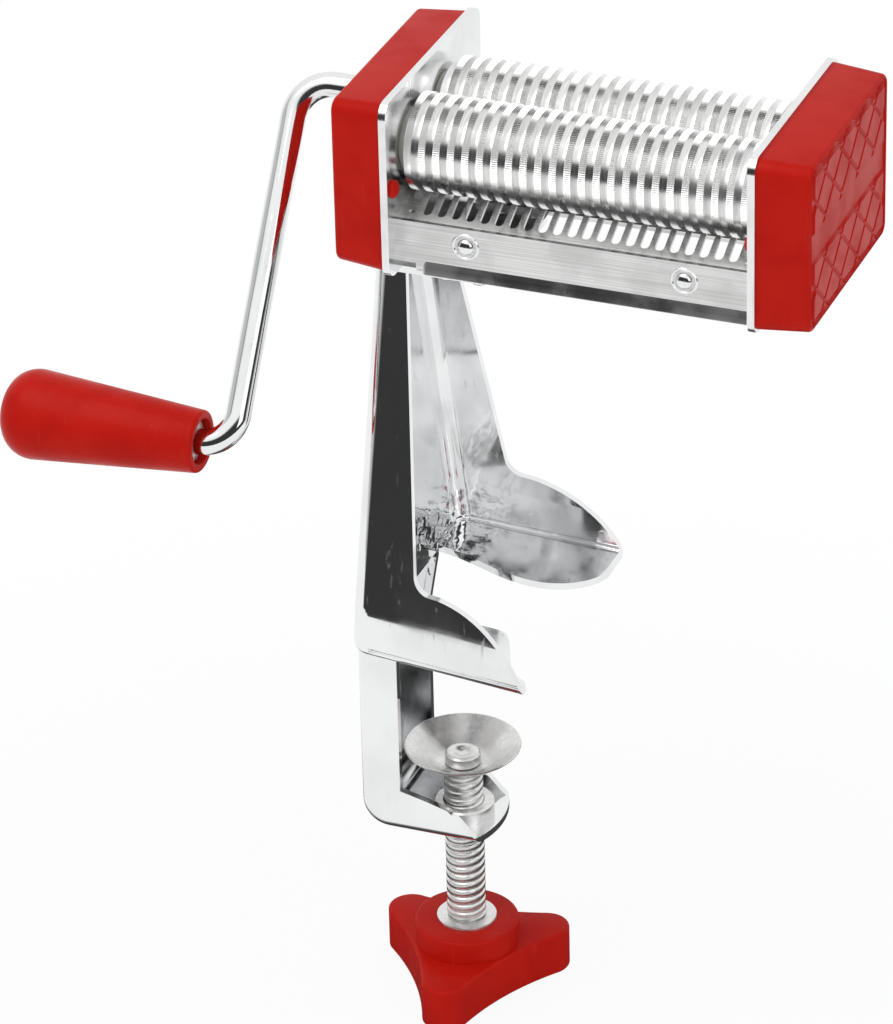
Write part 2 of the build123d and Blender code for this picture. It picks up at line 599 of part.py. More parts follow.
def neck():
    """Transition from the post's web to the narrower lower channel."""
    def section(z, web, half, inset):
        x = (web + inset, C_EDGE_X + inset)
        shape = Rectangle(x[1] - x[0], 2 * (half - inset))
        return Pos((x[0] + x[1]) / 2, 0, z) * shape

    outer = loft([section(0, WEB_X, NECK_HALF_WIDTH, 0), section(-NECK_DROP, C_WEB_X, C_HALF_WIDTH, 0)],
                 ruled=True)
    inner = loft([section(0, WEB_X, NECK_HALF_WIDTH, SHEET),
                  section(-NECK_DROP, C_WEB_X, C_HALF_WIDTH, SHEET)], ruled=True)
    collar = block((WEB_X, C_EDGE_X), (-NECK_HALF_WIDTH, NECK_HALF_WIDTH), (0, SHEET))
    throat = NECK_HALF_WIDTH - SHEET
    collar -= block((WEB_X + SHEET, C_EDGE_X + OVER), (-throat, throat), (-OVER, SHEET + OVER))
    return collar + (outer - inner)


def lower_channel():
    """C-shaped lower part: back channel and arm, with a rounded end."""
    low = ARM_BOTTOM
    side = (Polyline((C_WEB_X, low + C_CORNER), (C_WEB_X, -NECK_DROP), (C_EDGE_X, -NECK_DROP),
                     (C_EDGE_X, ARM_EDGE_START), *ARM_EDGE, (ARM_CORNER_X, ARM_FLOOR),
                     (ARM_TIP_X, ARM_FLOOR), (ARM_TIP_X, low), (C_WEB_X + C_CORNER, low))
            + RadiusArc((C_WEB_X + C_CORNER, low), (C_WEB_X, low + C_CORNER), C_CORNER))
    body = side_slab(side, C_HALF_WIDTH)
    bends = body.edges().filter_by(lambda e: e.center().X < C_WEB_X + C_CORNER - BEND_MARGIN
                                   or e.center().Z < low + BEND_MARGIN)
    bends = bends.filter_by(lambda e: abs(abs(e.center().Y) - C_HALF_WIDTH) < NEAR)
    bends = bends.filter_by(lambda e: e.center().Z < -NECK_DROP - BEND_MARGIN)
    body = fillet(bends, C_BEND)
    inside = (Polyline((C_WEB_X + SHEET, low + C_CORNER), (C_WEB_X + SHEET, -NECK_DROP + OVER),
                       (ARM_TIP_X + OVER, -NECK_DROP + OVER), (ARM_TIP_X + OVER, ARM_FLOOR),
                       (C_WEB_X + C_CORNER, ARM_FLOOR))
              + RadiusArc((C_WEB_X + C_CORNER, ARM_FLOOR), (C_WEB_X + SHEET, low + C_CORNER),
                          C_CORNER - SHEET))
    body -= side_slab(inside, C_HALF_WIDTH - SHEET)
    end = (ThreePointArc((ARM_CORNER_X, -C_HALF_WIDTH), (ARM_TIP_X, 0), (ARM_CORNER_X, C_HALF_WIDTH))
           + Polyline((ARM_CORNER_X, C_HALF_WIDTH), (ARM_TIP_X + OVER, C_HALF_WIDTH),
                      (ARM_TIP_X + OVER, -C_HALF_WIDTH), (ARM_CORNER_X, -C_HALF_WIDTH)))
    body -= extrude(Pos(0, 0, low - OVER) * make_face(end), SHEET + 2 * OVER)
    return body - rod_z((low - OVER, ARM_FLOOR + OVER), NUT_SPIGOT_RADIUS)


def clamp_bracket():
    """The whole pressed bracket, with the rivet holes in its tongue."""
    body = post() + tongue() + neck() + lower_channel()
    for way in (FRONT, BACK):
        for x in TONGUE_RIVET_X:
            body -= rod_z((POST_TOP - SHEET - OVER, POST_TOP + OVER), RIVET_RADIUS, x,
                          PAIR_Y + way * TONGUE_RIVET_INSET)
    return body


def bracket_rivets():
    """Four rivets, heads under the tongue."""
    return [rivet(x, PAIR_Y + way * TONGUE_RIVET_INSET, POST_TOP - SHEET, (0, 0, 1), SHEET + RAIL_THICK)
            for way in (FRONT, BACK) for x in TONGUE_RIVET_X]


# ---------------------------------------------------------------- clamp screw
def turned(points):
    """Solid of revolution about the screw's axis from (radius, z) points."""
    return revolve(Plane.XZ * make_face(Polyline(*points, close=True)), Axis.Z)


def clamp_screw():
    """Threaded rod: ridges at the thread's lead, a swivel neck and a swaged end."""
    root = SCREW_RADIUS - THREAD_DEPTH
    points = [(0, SCREW_TOP), (SWAGE_RADIUS - SWAGE_CHAMFER, SCREW_TOP),
              (SWAGE_RADIUS, SCREW_TOP - SWAGE_CHAMFER),
              (SWAGE_RADIUS, SCREW_TOP - SWAGE_HEIGHT), (NECK_RADIUS, SCREW_TOP - SWAGE_HEIGHT),
              (NECK_RADIUS, SCREW_SHOULDER), (root, SCREW_SHOULDER)]
    turns = int((SCREW_SHOULDER - INSERT_TOP) / THREAD_LEAD)
    for turn in range(turns):
        start = SCREW_SHOULDER - turn * THREAD_LEAD
        radii = (root, SCREW_RADIUS, SCREW_RADIUS, root)
        points += [(radius, start - share * THREAD_LEAD) for radius, share in zip(radii, THREAD_FLANKS)]
    end = INSERT_TOP - INSERT_DEPTH
    points += [(root, INSERT_TOP), (SHANK_RADIUS, INSERT_TOP), (SHANK_RADIUS, end), (0, end)]
    return turned(points)


def pressure_cup():
    """Dished pad with a hole for the screw's swivel neck."""
    slope_thick = CUP_SHEET * sqrt(1 + (CUP_DEPTH / (CUP_RIM_RADIUS - CUP_FLOOR_RADIUS)) ** 2)
    hole = NECK_RADIUS + SWIVEL_CLEAR
    return turned([(hole, CUP_FLOOR), (CUP_FLOOR_RADIUS, CUP_FLOOR), (CUP_RIM_RADIUS, CUP_RIM_Z),
                   (CUP_RIM_RADIUS, CUP_RIM_Z - slope_thick), (CUP_FLOOR_RADIUS, CUP_FLOOR - CUP_SHEET),
                   (hole, CUP_FLOOR - CUP_SHEET)])


def clamp_nut():
    """Threaded collar swaged into the arm."""
    body = rod_z((ARM_FLOOR, ARM_FLOOR + NUT_HEIGHT), NUT_RADIUS)
    body += rod_z((ARM_BOTTOM, ARM_FLOOR), NUT_SPIGOT_RADIUS)
    body -= rod_z((ARM_BOTTOM - OVER, ARM_FLOOR + NUT_HEIGHT + OVER), SCREW_RADIUS + NUT_CLEAR)
    return body


def knob_insert():
    """Flanged insert that the screw's shank is fixed in."""
    body = rod_z((HUB_TOP, INSERT_TOP), INSERT_FLANGE_RADIUS)
    body += rod_z((INSERT_TOP - INSERT_DEPTH, HUB_TOP), INSERT_RADIUS)
    return body - rod_z((INSERT_TOP - INSERT_DEPTH - OVER, INSERT_TOP + OVER), SHANK_RADIUS)


def lobe_outline():
    """Three round lobes joined by hollow flanks that run tangent into them."""
    reach = LOBE_REACH - LOBE_TIP_RADIUS
    half_pitch = pi / len(LOBE_ANGLES)
    inward = reach * cos(half_pitch)
    flank_radius = ((reach ** 2 + LOBE_WAIST ** 2 - 2 * LOBE_WAIST * inward - LOBE_TIP_RADIUS ** 2)
                    / (2 * (LOBE_TIP_RADIUS - LOBE_WAIST + inward)))
    flank_reach = flank_radius + LOBE_WAIST
    lean = atan2(flank_reach * sin(half_pitch), flank_reach * cos(half_pitch) - reach)

    def on_tip(turn, side):
        across = turn + side * lean
        return (reach * cos(turn) + LOBE_TIP_RADIUS * cos(across),
                reach * sin(turn) + LOBE_TIP_RADIUS * sin(across))

    outline = []
    for index, degrees in enumerate(LOBE_ANGLES):
        turn = radians(degrees)
        following = radians(LOBE_ANGLES[(index + 1) % len(LOBE_ANGLES)])
        waist_turn = turn + half_pitch
        tip = (LOBE_REACH * cos(turn), LOBE_REACH * sin(turn))
        waist = (LOBE_WAIST * cos(waist_turn), LOBE_WAIST * sin(waist_turn))
        outline.append(ThreePointArc(on_tip(turn, -1), tip, on_tip(turn, 1)))
        outline.append(ThreePointArc(on_tip(turn, 1), waist, on_tip(following, -1)))
    return make_face(outline)


def wing_knob():
    """Three-lobed knob with a raised hub, moulded round the insert."""
    lobes = extrude(Pos(0, 0, KNOB_BOTTOM) * lobe_outline(), LOBE_HEIGHT)
    ends = lobes.faces().filter_by(Plane.XY).edges()
    lobes = fillet(ends, KNOB_EDGE)
    hub = rod_z((KNOB_BOTTOM + KNOB_EDGE, HUB_TOP), HUB_RADIUS)
    hub = fillet(hub.edges().group_by(Axis.Z)[-1], KNOB_EDGE)
    return lobes + hub - rod_z((INSERT_TOP - INSERT_DEPTH, HUB_TOP + OVER), INSERT_RADIUS)


# ---------------------------------------------------------------- write every node
save("left_side_plate", side_plate(LEFT))
save("right_side_plate", side_plate(RIGHT))
save("left_end_cap", end_cap(LEFT))
save("right_end_cap", end_cap(RIGHT))

socket = rod_x((JOURNAL_LEFT, SOCKET_END), BACK_Y, AXIS_Z, ROD_RADIUS)
save("front_roller", roller(FRONT_Y, FRONT_RING_X))
save("back_roller", roller(BACK_Y, BACK_RING_X) - socket - crank_pin())
save("crank_pin", crank_pin())
for place, way_y in (("front", FRONT_Y), ("back", BACK_Y)):
    save(f"{place}_left_bush", bush(LEFT, way_y))
    save(f"{place}_right_bush", bush(RIGHT, way_y))

save("drive_gear", gear(BACK_Y, 0.0))
save("driven_gear", gear(FRONT_Y, 0.5))
save("drive_gear_clip", gear_clip(BACK_Y))
save("driven_gear_clip", gear_clip(FRONT_Y))

save("front_rail", rail(FRONT))
save("back_rail", rail(BACK))
save("front_comb", comb(FRONT, FRONT_RING_X))
save("back_comb", comb(BACK, BACK_RING_X))
save("front_comb_rivets", Compound(children=comb_rivets(FRONT)))
save("back_comb_rivets", Compound(children=comb_rivets(BACK)))

save("crank_arm", crank_arm())
save("crank_grip", crank_grip())
save("grip_washer", grip_washer())

save("clamp_bracket", clamp_bracket())
save("bracket_rivets", Compound(children=bracket_rivets()))
save("clamp_nut", clamp_nut())
save("clamp_screw", clamp_screw())
save("pressure_cup", pressure_cup())
save("wing_knob", wing_knob())
save("knob_insert", knob_insert())
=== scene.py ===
"""Hand-cranked ribbon cutter on a table clamp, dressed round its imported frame.

Pieces are shaped in millimetres in the part's own frame and turned into metres when they are
finished.  +Z is up, +X runs along the rollers away from the crank, -Y is the front, and the origin
is on the clamp screw's axis in the plane of the feet's undersides.
"""
import logging
import math
from dataclasses import dataclass
from enum import Enum
from typing import Iterable, Sequence

import bmesh
import bpy
from bmesh.types import BMEdge, BMFace, BMVert
from mathutils import Matrix, Vector


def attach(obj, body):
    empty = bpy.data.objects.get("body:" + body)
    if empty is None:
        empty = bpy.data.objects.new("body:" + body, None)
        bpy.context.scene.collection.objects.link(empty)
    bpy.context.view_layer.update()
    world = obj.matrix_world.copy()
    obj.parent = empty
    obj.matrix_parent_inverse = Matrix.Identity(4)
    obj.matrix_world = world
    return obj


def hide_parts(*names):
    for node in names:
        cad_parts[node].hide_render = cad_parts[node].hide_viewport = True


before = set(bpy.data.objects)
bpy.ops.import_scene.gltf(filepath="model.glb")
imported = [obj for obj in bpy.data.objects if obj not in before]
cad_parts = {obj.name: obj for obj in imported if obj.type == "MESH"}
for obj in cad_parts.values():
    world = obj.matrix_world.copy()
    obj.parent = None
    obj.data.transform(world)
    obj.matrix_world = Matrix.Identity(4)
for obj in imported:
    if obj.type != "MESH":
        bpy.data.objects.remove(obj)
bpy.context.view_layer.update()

LOG = logging.getLogger("ribbon_cutter")
MM = 0.001
FULL_TURN = 2 * math.pi
MERGE = 0.0005
CAD_WELD = 0.002
LEVEL_ANGLE = math.radians(0.05)

Profile = Sequence[tuple[float, float]]


# ---------------------------------------------------------------- named options
class Side(Enum):
    """End of the cutting head along X."""

    LEFT = -1
    RIGHT = 1


class Way(Enum):
    """Front or back half of the cutting head along Y."""

    FRONT = -1
    BACK = 1


class Body(str, Enum):
    """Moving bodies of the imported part."""

    FRAME = "frame"
    DRIVE = "drive_roller"
    IDLER = "idler_roller"
    GRIP = "grip"
    CUP = "cup"
    SCREW = "screw"


class Slot(str, Enum):
    """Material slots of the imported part."""

    PLATE = "bright_plate"
    ROLLER = "roller_metal"
    RED = "red_plastic"
    ZINC = "zinc_steel"
    NYLON = "white_nylon"


# ---------------------------------------------------------------- shader graphs
class Graph:
    """A node tree with short calls to add nodes and join them."""

    def __init__(self, tree: bpy.types.NodeTree) -> None:
        """Takes the tree that the calls work on."""
        self.tree = tree

    def add(self, kind: str, **settings: object) -> bpy.types.Node:
        """Adds a node.

        Args:
            kind: the node's type name without its "ShaderNode" start.
            settings: properties of the node to set.

        Returns:
            The new node.
        """
        node = self.tree.nodes.new(f"ShaderNode{kind}")
        for key, value in settings.items():
            setattr(node, key, value)
        return node

    def join(self, value: object, socket: bpy.types.NodeSocket) -> None:
        """Links an output to a socket, or sets the socket to a plain value.

        Args:
            value: a node output, a number or a tuple.
            socket: the input that takes it.
        """
        if isinstance(value, bpy.types.NodeSocket):
            self.tree.links.new(value, socket)
        else:
            socket.default_value = value

    def math(self, operation: str, *values: object) -> bpy.types.NodeSocket:
        """Adds a Math node.

        Args:
            operation: the node's operation.
            values: its inputs, as outputs or numbers.

        Returns:
            The result's socket.
        """
        node = self.add("Math", operation=operation)
        for value, socket in zip(values, node.inputs):
            self.join(value, socket)
        return node.outputs[0]

    def blend(self, share: object, low: object, high: object) -> bpy.types.NodeSocket:
        """Mixes two colours.

        Args:
            share: how much of the second colour shows.
            low: the colour at 0.
            high: the colour at 1.

        Returns:
            The mixed colour's socket.
        """
        node = self.add("Mix", data_type="RGBA")
        self.join(share, node.inputs["Factor"])
        self.join(low, node.inputs["A"])
        self.join(high, node.inputs["B"])
        return node.outputs["Result"]

    def rescale(self, value: object, source: tuple[float, float],
                target: tuple[float, float] = (0.0, 1.0)) -> bpy.types.NodeSocket:
        """Maps a value from one range to another with soft ends.

        Args:
            value: the value's socket.
            source: limits that it comes in.
            target: limits that it goes out in.

        Returns:
            The mapped value's socket.
        """
        node = self.add("MapRange", interpolation_type="SMOOTHSTEP")
        self.join(value, node.inputs["Value"])
        for name, number in zip(("From Min", "From Max", "To Min", "To Max"), source + target):
            self.join(number, node.inputs[name])
        return node.outputs["Result"]

    def noise(self, place: bpy.types.NodeSocket, scale: tuple[float, float, float],
              detail: float = 3.0, roughness: float = 0.55) -> bpy.types.NodeSocket:
        """Noise on stretched coordinates.

        Args:
            place: the coordinates' socket.
            scale: features per metre along X, Y and Z.
            detail: octaves.
            roughness: strength of the finer octaves.

        Returns:
            The noise value's socket.
        """
        mapping = self.add("Mapping")
        self.join(place, mapping.inputs["Vector"])
        self.join(scale, mapping.inputs["Scale"])
        node = self.add("TexNoise")
        self.join(mapping.outputs["Vector"], node.inputs["Vector"])
        self.join(1.0, node.inputs["Scale"])
        self.join(detail, node.inputs["Detail"])
        self.join(roughness, node.inputs["Roughness"])
        return node.outputs["Fac"]


class SharedEffects:
    """Node groups that several finishes use, each built once."""

    SCRATCH_WAYS = ((0.5, 0.04), (-0.9, 0.06))
    SCRATCH_TILT = (1.0, 0.7, 1.3)
    SCRATCH_RANGE = (0.64, 0.74)
    SMEAR_RANGE = (0.35, 0.7)
    _made: dict[str, bpy.types.NodeTree] = {}

    @classmethod
    def _start(cls, name: str, inputs: Sequence[tuple[str, str, object]],
               outputs: Sequence[tuple[str, str]]) -> tuple[Graph, bpy.types.Node, bpy.types.Node]:
        """Makes an empty group with named sockets.

        Args:
            name: the group's name.
            inputs: name, socket type and default of each input.
            outputs: name and socket type of each output.

        Returns:
            The group's graph, its input node and its output node.
        """
        tree = bpy.data.node_groups.new(name, "ShaderNodeTree")
        for label, kind, default in inputs:
            socket = tree.interface.new_socket(name=label, in_out="INPUT", socket_type=kind)
            socket.default_value = default
        for label, kind in outputs:
            tree.interface.new_socket(name=label, in_out="OUTPUT", socket_type=kind)
        return Graph(tree), tree.nodes.new("NodeGroupInput"), tree.nodes.new("NodeGroupOutput")

    @classmethod
    def handling_marks(cls) -> bpy.types.NodeTree:
        """Group with cloudy smears and fine crossing scratches on a metal surface.

        Returns:
            The group, with outputs Smear, Scratch and Height.
        """
        if "handling_marks" not in cls._made:
            graph, given, out = cls._start(
                "handling_marks",
                [("Smear Scale", "NodeSocketFloat", 60.0), ("Scratch Scale", "NodeSocketFloat", 500.0)],
                [(label, "NodeSocketFloat") for label in ("Smear", "Scratch", "Height")])
            place = graph.add("TexCoord").outputs["Object"]
            smear = graph.add("TexNoise")
            graph.join(place, smear.inputs["Vector"])
            graph.join(given.outputs["Smear Scale"], smear.inputs["Scale"])
            graph.join(4.0, smear.inputs["Detail"])
            masks = []
            for turn, stretch in cls.SCRATCH_WAYS:
                mapping = graph.add("Mapping")
                graph.join(place, mapping.inputs["Vector"])
                graph.join([turn * part for part in cls.SCRATCH_TILT], mapping.inputs["Rotation"])
                graph.join((1.0, 1.0, stretch), mapping.inputs["Scale"])
                lines = graph.add("TexNoise")
                graph.join(mapping.outputs["Vector"], lines.inputs["Vector"])
                graph.join(given.outputs["Scratch Scale"], lines.inputs["Scale"])
                graph.join(2.0, lines.inputs["Detail"])
                masks.append(graph.rescale(lines.outputs["Fac"], cls.SCRATCH_RANGE))
            scratch = graph.math("MAXIMUM", *masks)
            graph.join(graph.rescale(smear.outputs["Fac"], cls.SMEAR_RANGE), out.inputs["Smear"])
            graph.join(scratch, out.inputs["Scratch"])
            graph.join(graph.math("MULTIPLY", scratch, -1.0), out.inputs["Height"])
            cls._made["handling_marks"] = graph.tree
        return cls._made["handling_marks"]

    @classmethod
    def drawn_grain(cls) -> bpy.types.NodeTree:
        """Group with the straight grain that rolling or turning leaves in metal.

        Returns:
            The group, with input Stretch (features per metre on each axis) and output Grain.
        """
        if "drawn_grain" not in cls._made:
            graph, given, out = cls._start(
                "drawn_grain", [("Stretch", "NodeSocketVector", (20.0, 2500.0, 2500.0))],
                [("Grain", "NodeSocketFloat")])
            place = graph.add("TexCoord").outputs["Object"]
            mapping = graph.add("Mapping")
            graph.join(place, mapping.inputs["Vector"])
            graph.join(given.outputs["Stretch"], mapping.inputs["Scale"])
            lines = graph.add("TexNoise")
            graph.join(mapping.outputs["Vector"], lines.inputs["Vector"])
            graph.join(1.0, lines.inputs["Scale"])
            graph.join(4.0, lines.inputs["Detail"])
            graph.join(lines.outputs["Fac"], out.inputs["Grain"])
            cls._made["drawn_grain"] = graph.tree
        return cls._made["drawn_grain"]


# ---------------------------------------------------------------- finishes
class Finish:
    """What every finish shares: one material, made the first time it is asked for."""

    _made: dict[object, bpy.types.Material] = {}

    def material(self) -> bpy.types.Material:
        """Returns this finish's material."""
        if self not in Finish._made:
            made = bpy.data.materials.new(self.name)
            made.use_nodes = True
            graph = Graph(made.node_tree)
            self.fill(graph, made.node_tree.nodes["Principled BSDF"])
            Finish._made[self] = made
        return Finish._made[self]

    def fill(self, graph: Graph, shader: bpy.types.Node) -> None:
        """Adds the finish's own nodes to its material."""
        raise NotImplementedError

    @staticmethod
    def bump(graph: Graph, shader: bpy.types.Node, height: bpy.types.NodeSocket) -> None:
        """Feeds a height in metres to the shader's normal.

        Args:
            graph: the material's graph.
            shader: the material's shader.
            height: the height's socket.
        """
        node = graph.add("Bump")
        graph.join(height, node.inputs["Height"])
        graph.join(1.0, node.inputs["Distance"])
        graph.join(1.0, node.inputs["Strength"])
        graph.join(node.outputs["Normal"], shader.inputs["Normal"])


@dataclass(frozen=True)
class PolishedPlate(Finish):
    """Bright plated sheet: mirror-like, slightly wavy, with faint smears and scratches."""

    name: str = "polished_plate"
    colour: tuple[float, float, float, float] = (0.86, 0.865, 0.87, 1.0)
    roughness: tuple[float, float] = (0.045, 0.13)
    wave_scale: float = 55.0
    wave_height: float = 0.00012
    dulled: float = 0.93
    scratch_roughness: float = 0.12
    scratch_depth: float = 0.0000015
    hammered: bool = False
    web_half_width: float = 0.0400
    web_lean: float = 0.245
    dent_margin: tuple[float, float] = (0.0, 0.0006)
    dent_web_x: tuple[float, float] = (-0.0160, -0.0156)
    dent_fade_x: tuple[float, float] = (-0.008, 0.001)
    dent_top: tuple[float, float] = (0.010, 0.024)
    dent_bottom: tuple[float, float] = (-0.014, -0.002)
    dent_scale: float = 210.0
    dent_height: float = 0.0004

    def fill(self, graph: Graph, shader: bpy.types.Node) -> None:
        """Adds smears to the roughness, and waves and scratches to the surface."""
        marks = graph.add("Group", node_tree=SharedEffects.handling_marks())
        place = graph.add("TexCoord").outputs["Object"]
        shader.inputs["Metallic"].default_value = 1.0
        dull = tuple(self.dulled * part for part in self.colour[:3]) + (1.0,)
        graph.join(graph.blend(marks.outputs["Smear"], self.colour, dull), shader.inputs["Base Color"])
        rough = graph.rescale(marks.outputs["Smear"], (0.0, 1.0), self.roughness)
        scratched = graph.math("MULTIPLY", marks.outputs["Scratch"], self.scratch_roughness)
        graph.join(graph.math("ADD", rough, scratched), shader.inputs["Roughness"])
        waves = graph.noise(place, (self.wave_scale,) * 3, detail=1.0)
        height = graph.math("ADD", graph.math("MULTIPLY", waves, self.wave_height),
                            graph.math("MULTIPLY", marks.outputs["Height"], self.scratch_depth))
        if self.hammered:
            height = graph.math("ADD", height, self.crinkles(graph, place))
        self.bump(graph, shader, height)

    def crinkles(self, graph: Graph, place: bpy.types.NodeSocket) -> bpy.types.NodeSocket:
        """Dents that pressing left where the web meets the feet.

        Args:
            graph: the material's graph.
            place: the coordinates' socket.

        Returns:
            The dents' height in metres.
        """
        parts = graph.add("SeparateXYZ")
        graph.join(place, parts.inputs["Vector"])
        x, y, z = parts.outputs
        flange = graph.math("SUBTRACT", self.web_half_width, graph.math("MULTIPLY", z, self.web_lean))
        inside = graph.rescale(graph.math("SUBTRACT", flange, graph.math("ABSOLUTE", y)),
                               self.dent_margin)
        off_web = graph.rescale(x, self.dent_web_x)
        near_web = graph.math("MULTIPLY", off_web, graph.rescale(x, self.dent_fade_x, (1.0, 0.0)))
        low = graph.rescale(z, self.dent_top, (1.0, 0.0))
        high = graph.rescale(z, self.dent_bottom)
        mask = graph.math("MULTIPLY", graph.math("MULTIPLY", near_web, inside),
                          graph.math("MULTIPLY", low, high))
        dents = graph.noise(place, (self.dent_scale,) * 3, detail=1.5)
        return graph.math("MULTIPLY", graph.math("MULTIPLY", dents, mask), self.dent_height)


@dataclass(frozen=True)
class GrainedMetal(Finish):
    """Bright metal with the grain of rolling or turning; the values here are the rails' and combs'."""

    name: str = "brushed_sheet"
    colour: tuple[float, float, float, float] = (0.80, 0.80, 0.795, 1.0)
    shade: tuple[float, float, float, float] = (0.62, 0.62, 0.615, 1.0)
    roughness: tuple[float, float] = (0.2, 0.36)
    stretch: tuple[float, float, float] = (18.0, 2600.0, 2600.0)
    grain_range: tuple[float, float] = (0.3, 0.7)
    grain_depth: float = 0.000008
    scratch_depth: float = 0.000003

    def fill(self, graph: Graph, shader: bpy.types.Node) -> None:
        """Adds grain to the colour and surface, and smears to the roughness."""
        grain = graph.add("Group", node_tree=SharedEffects.drawn_grain())
        graph.join(self.stretch, grain.inputs["Stretch"])
        marks = graph.add("Group", node_tree=SharedEffects.handling_marks())
        shader.inputs["Metallic"].default_value = 1.0
        share = graph.rescale(grain.outputs["Grain"], self.grain_range)
        graph.join(graph.blend(share, self.shade, self.colour), shader.inputs["Base Color"])
        rough = graph.rescale(marks.outputs["Smear"], (0.0, 1.0), self.roughness)
        graph.join(rough, shader.inputs["Roughness"])
        height = graph.math("ADD", graph.math("MULTIPLY", grain.outputs["Grain"], self.grain_depth),
                            graph.math("MULTIPLY", marks.outputs["Height"], self.scratch_depth))
        self.bump(graph, shader, height)


@dataclass(frozen=True)
class ZincCoat(Finish):
    """Matt grey-white zinc on the screw, cup and washer."""

    name: str = "zinc_coat"
    colour: tuple[float, float, float, float] = (0.84, 0.84, 0.83, 1.0)
    shade: tuple[float, float, float, float] = (0.68, 0.68, 0.67, 1.0)
    roughness: tuple[float, float] = (0.26, 0.4)
    grain_scale: float = 700.0
    grain_range: tuple[float, float] = (0.3, 0.75)
    grain_share: tuple[float, float] = (0.2, 1.0)
    cloud_share: tuple[float, float] = (1.0, 0.65)
    grain_depth: float = 0.000006
    smear_scale: float = 130.0

    def fill(self, graph: Graph, shader: bpy.types.Node) -> None:
        """Adds a cloudy coat with a fine grain."""
        place = graph.add("TexCoord").outputs["Object"]
        marks = graph.add("Group", node_tree=SharedEffects.handling_marks())
        graph.join(self.smear_scale, marks.inputs["Smear Scale"])
        shader.inputs["Metallic"].default_value = 1.0
        fine = graph.noise(place, (self.grain_scale,) * 3, detail=4.0)
        share = graph.math("MULTIPLY", graph.rescale(fine, self.grain_range, self.grain_share),
                           graph.rescale(marks.outputs["Smear"], (0.0, 1.0), self.cloud_share))
        graph.join(graph.blend(share, self.shade, self.colour), shader.inputs["Base Color"])
        graph.join(graph.rescale(marks.outputs["Smear"], (0.0, 1.0), self.roughness),
                   shader.inputs["Roughness"])
        self.bump(graph, shader, graph.math("MULTIPLY", fine, self.grain_depth))


@dataclass(frozen=True)
class MouldedPlastic(Finish):
    """Moulded plastic with a faint orange-peel skin and a few scuffs."""

    name: str = "moulded_red"
    colour: tuple[float, float, float, float] = (0.56, 0.0125, 0.0060, 1.0)
    shade: tuple[float, float, float, float] = (0.51, 0.0090, 0.0048, 1.0)
    scuff: tuple[float, float, float, float] = (0.68, 0.06, 0.04, 1.0)
    roughness: tuple[float, float] = (0.3, 0.4)
    specular: float = 0.07
    smear_scale: float = 90.0
    scuff_share: float = 0.12
    skin_scale: float = 1400.0
    skin_depth: float = 0.00001

    def fill(self, graph: Graph, shader: bpy.types.Node) -> None:
        """Adds mottling, scuffs and the moulded skin."""
        place = graph.add("TexCoord").outputs["Object"]
        shader.inputs["Specular IOR Level"].default_value = self.specular
        marks = graph.add("Group", node_tree=SharedEffects.handling_marks())
        graph.join(self.smear_scale, marks.inputs["Smear Scale"])
        base = graph.blend(marks.outputs["Smear"], self.colour, self.shade)
        faint = graph.math("MULTIPLY", marks.outputs["Scratch"], self.scuff_share)
        graph.join(graph.blend(faint, base, self.scuff), shader.inputs["Base Color"])
        graph.join(graph.rescale(marks.outputs["Smear"], (0.0, 1.0), self.roughness),
                   shader.inputs["Roughness"])
        skin = graph.noise(place, (self.skin_scale,) * 3, detail=2.0)
        self.bump(graph, shader, graph.math("MULTIPLY", skin, self.skin_depth))


POLISHED = PolishedPlate()
SIDE_SHEET = PolishedPlate(name="side_sheet", roughness=(0.16, 0.26))
PRESSED = PolishedPlate(name="pressed_bracket", hammered=True)
BRUSHED = GrainedMetal()
TURNED = GrainedMetal(name="turned_roller", colour=(0.93, 0.93, 0.925, 1.0), shade=(0.78, 0.78, 0.775, 1.0),
                      roughness=(0.2, 0.32), stretch=(4200.0, 40.0, 40.0), grain_range=(0.3, 0.65),
                      grain_depth=0.000006, scratch_depth=0.0)
ZINC = ZincCoat()
RED = MouldedPlastic()
NYLON = MouldedPlastic(name="moulded_nylon", colour=(0.8, 0.79, 0.74, 1.0), shade=(0.7, 0.69, 0.63, 1.0),
                       scuff=(0.85, 0.84, 0.8, 1.0), roughness=(0.4, 0.55))


# ---------------------------------------------------------------- mesh work
def sweep_round(bm: bmesh.types.BMesh, geometry: Sequence[BMVert | BMEdge], centre: Vector, axis: Vector,
                angle: float, steps: int, shift: Sequence[float] = (0.0, 0.0, 0.0),
                merge: bool = False) -> list:
    """Sweeps vertices and edges round an axis.

    Args:
        bm: the mesh.
        geometry: what is swept.
        centre: a point on the axis.
        axis: the axis' direction.
        angle: how far it goes round, in radians.
        steps: its number of facets.
        shift: how far each step also moves, as for a thread.
        merge: whether the last facet joins the first.

    Returns:
        The vertices and edges at the far end.
    """
    return bmesh.ops.spin(bm, geom=list(geometry), cent=centre, axis=axis, dvec=shift, angle=angle,
                          space=Matrix.Identity(4), steps=steps, use_merge=merge, use_normal_flip=False,
                          use_duplicate=False)["geom_last"]


def split(bm: bmesh.types.BMesh, geometry: Sequence[BMVert | BMEdge | BMFace], place: Vector,
          normal: Vector, clear: bool = False) -> list:
    """Cuts geometry along a plane.

    Args:
        bm: the mesh.
        geometry: what is cut.
        place: a point on the plane.
        normal: the plane's direction.
        clear: whether what lies past the plane goes.

    Returns:
        The vertices and edges on the cut.
    """
    return bmesh.ops.bisect_plane(bm, geom=geometry, dist=MERGE, plane_co=place, plane_no=normal,
                                  clear_outer=clear, clear_inner=False)["geom_cut"]


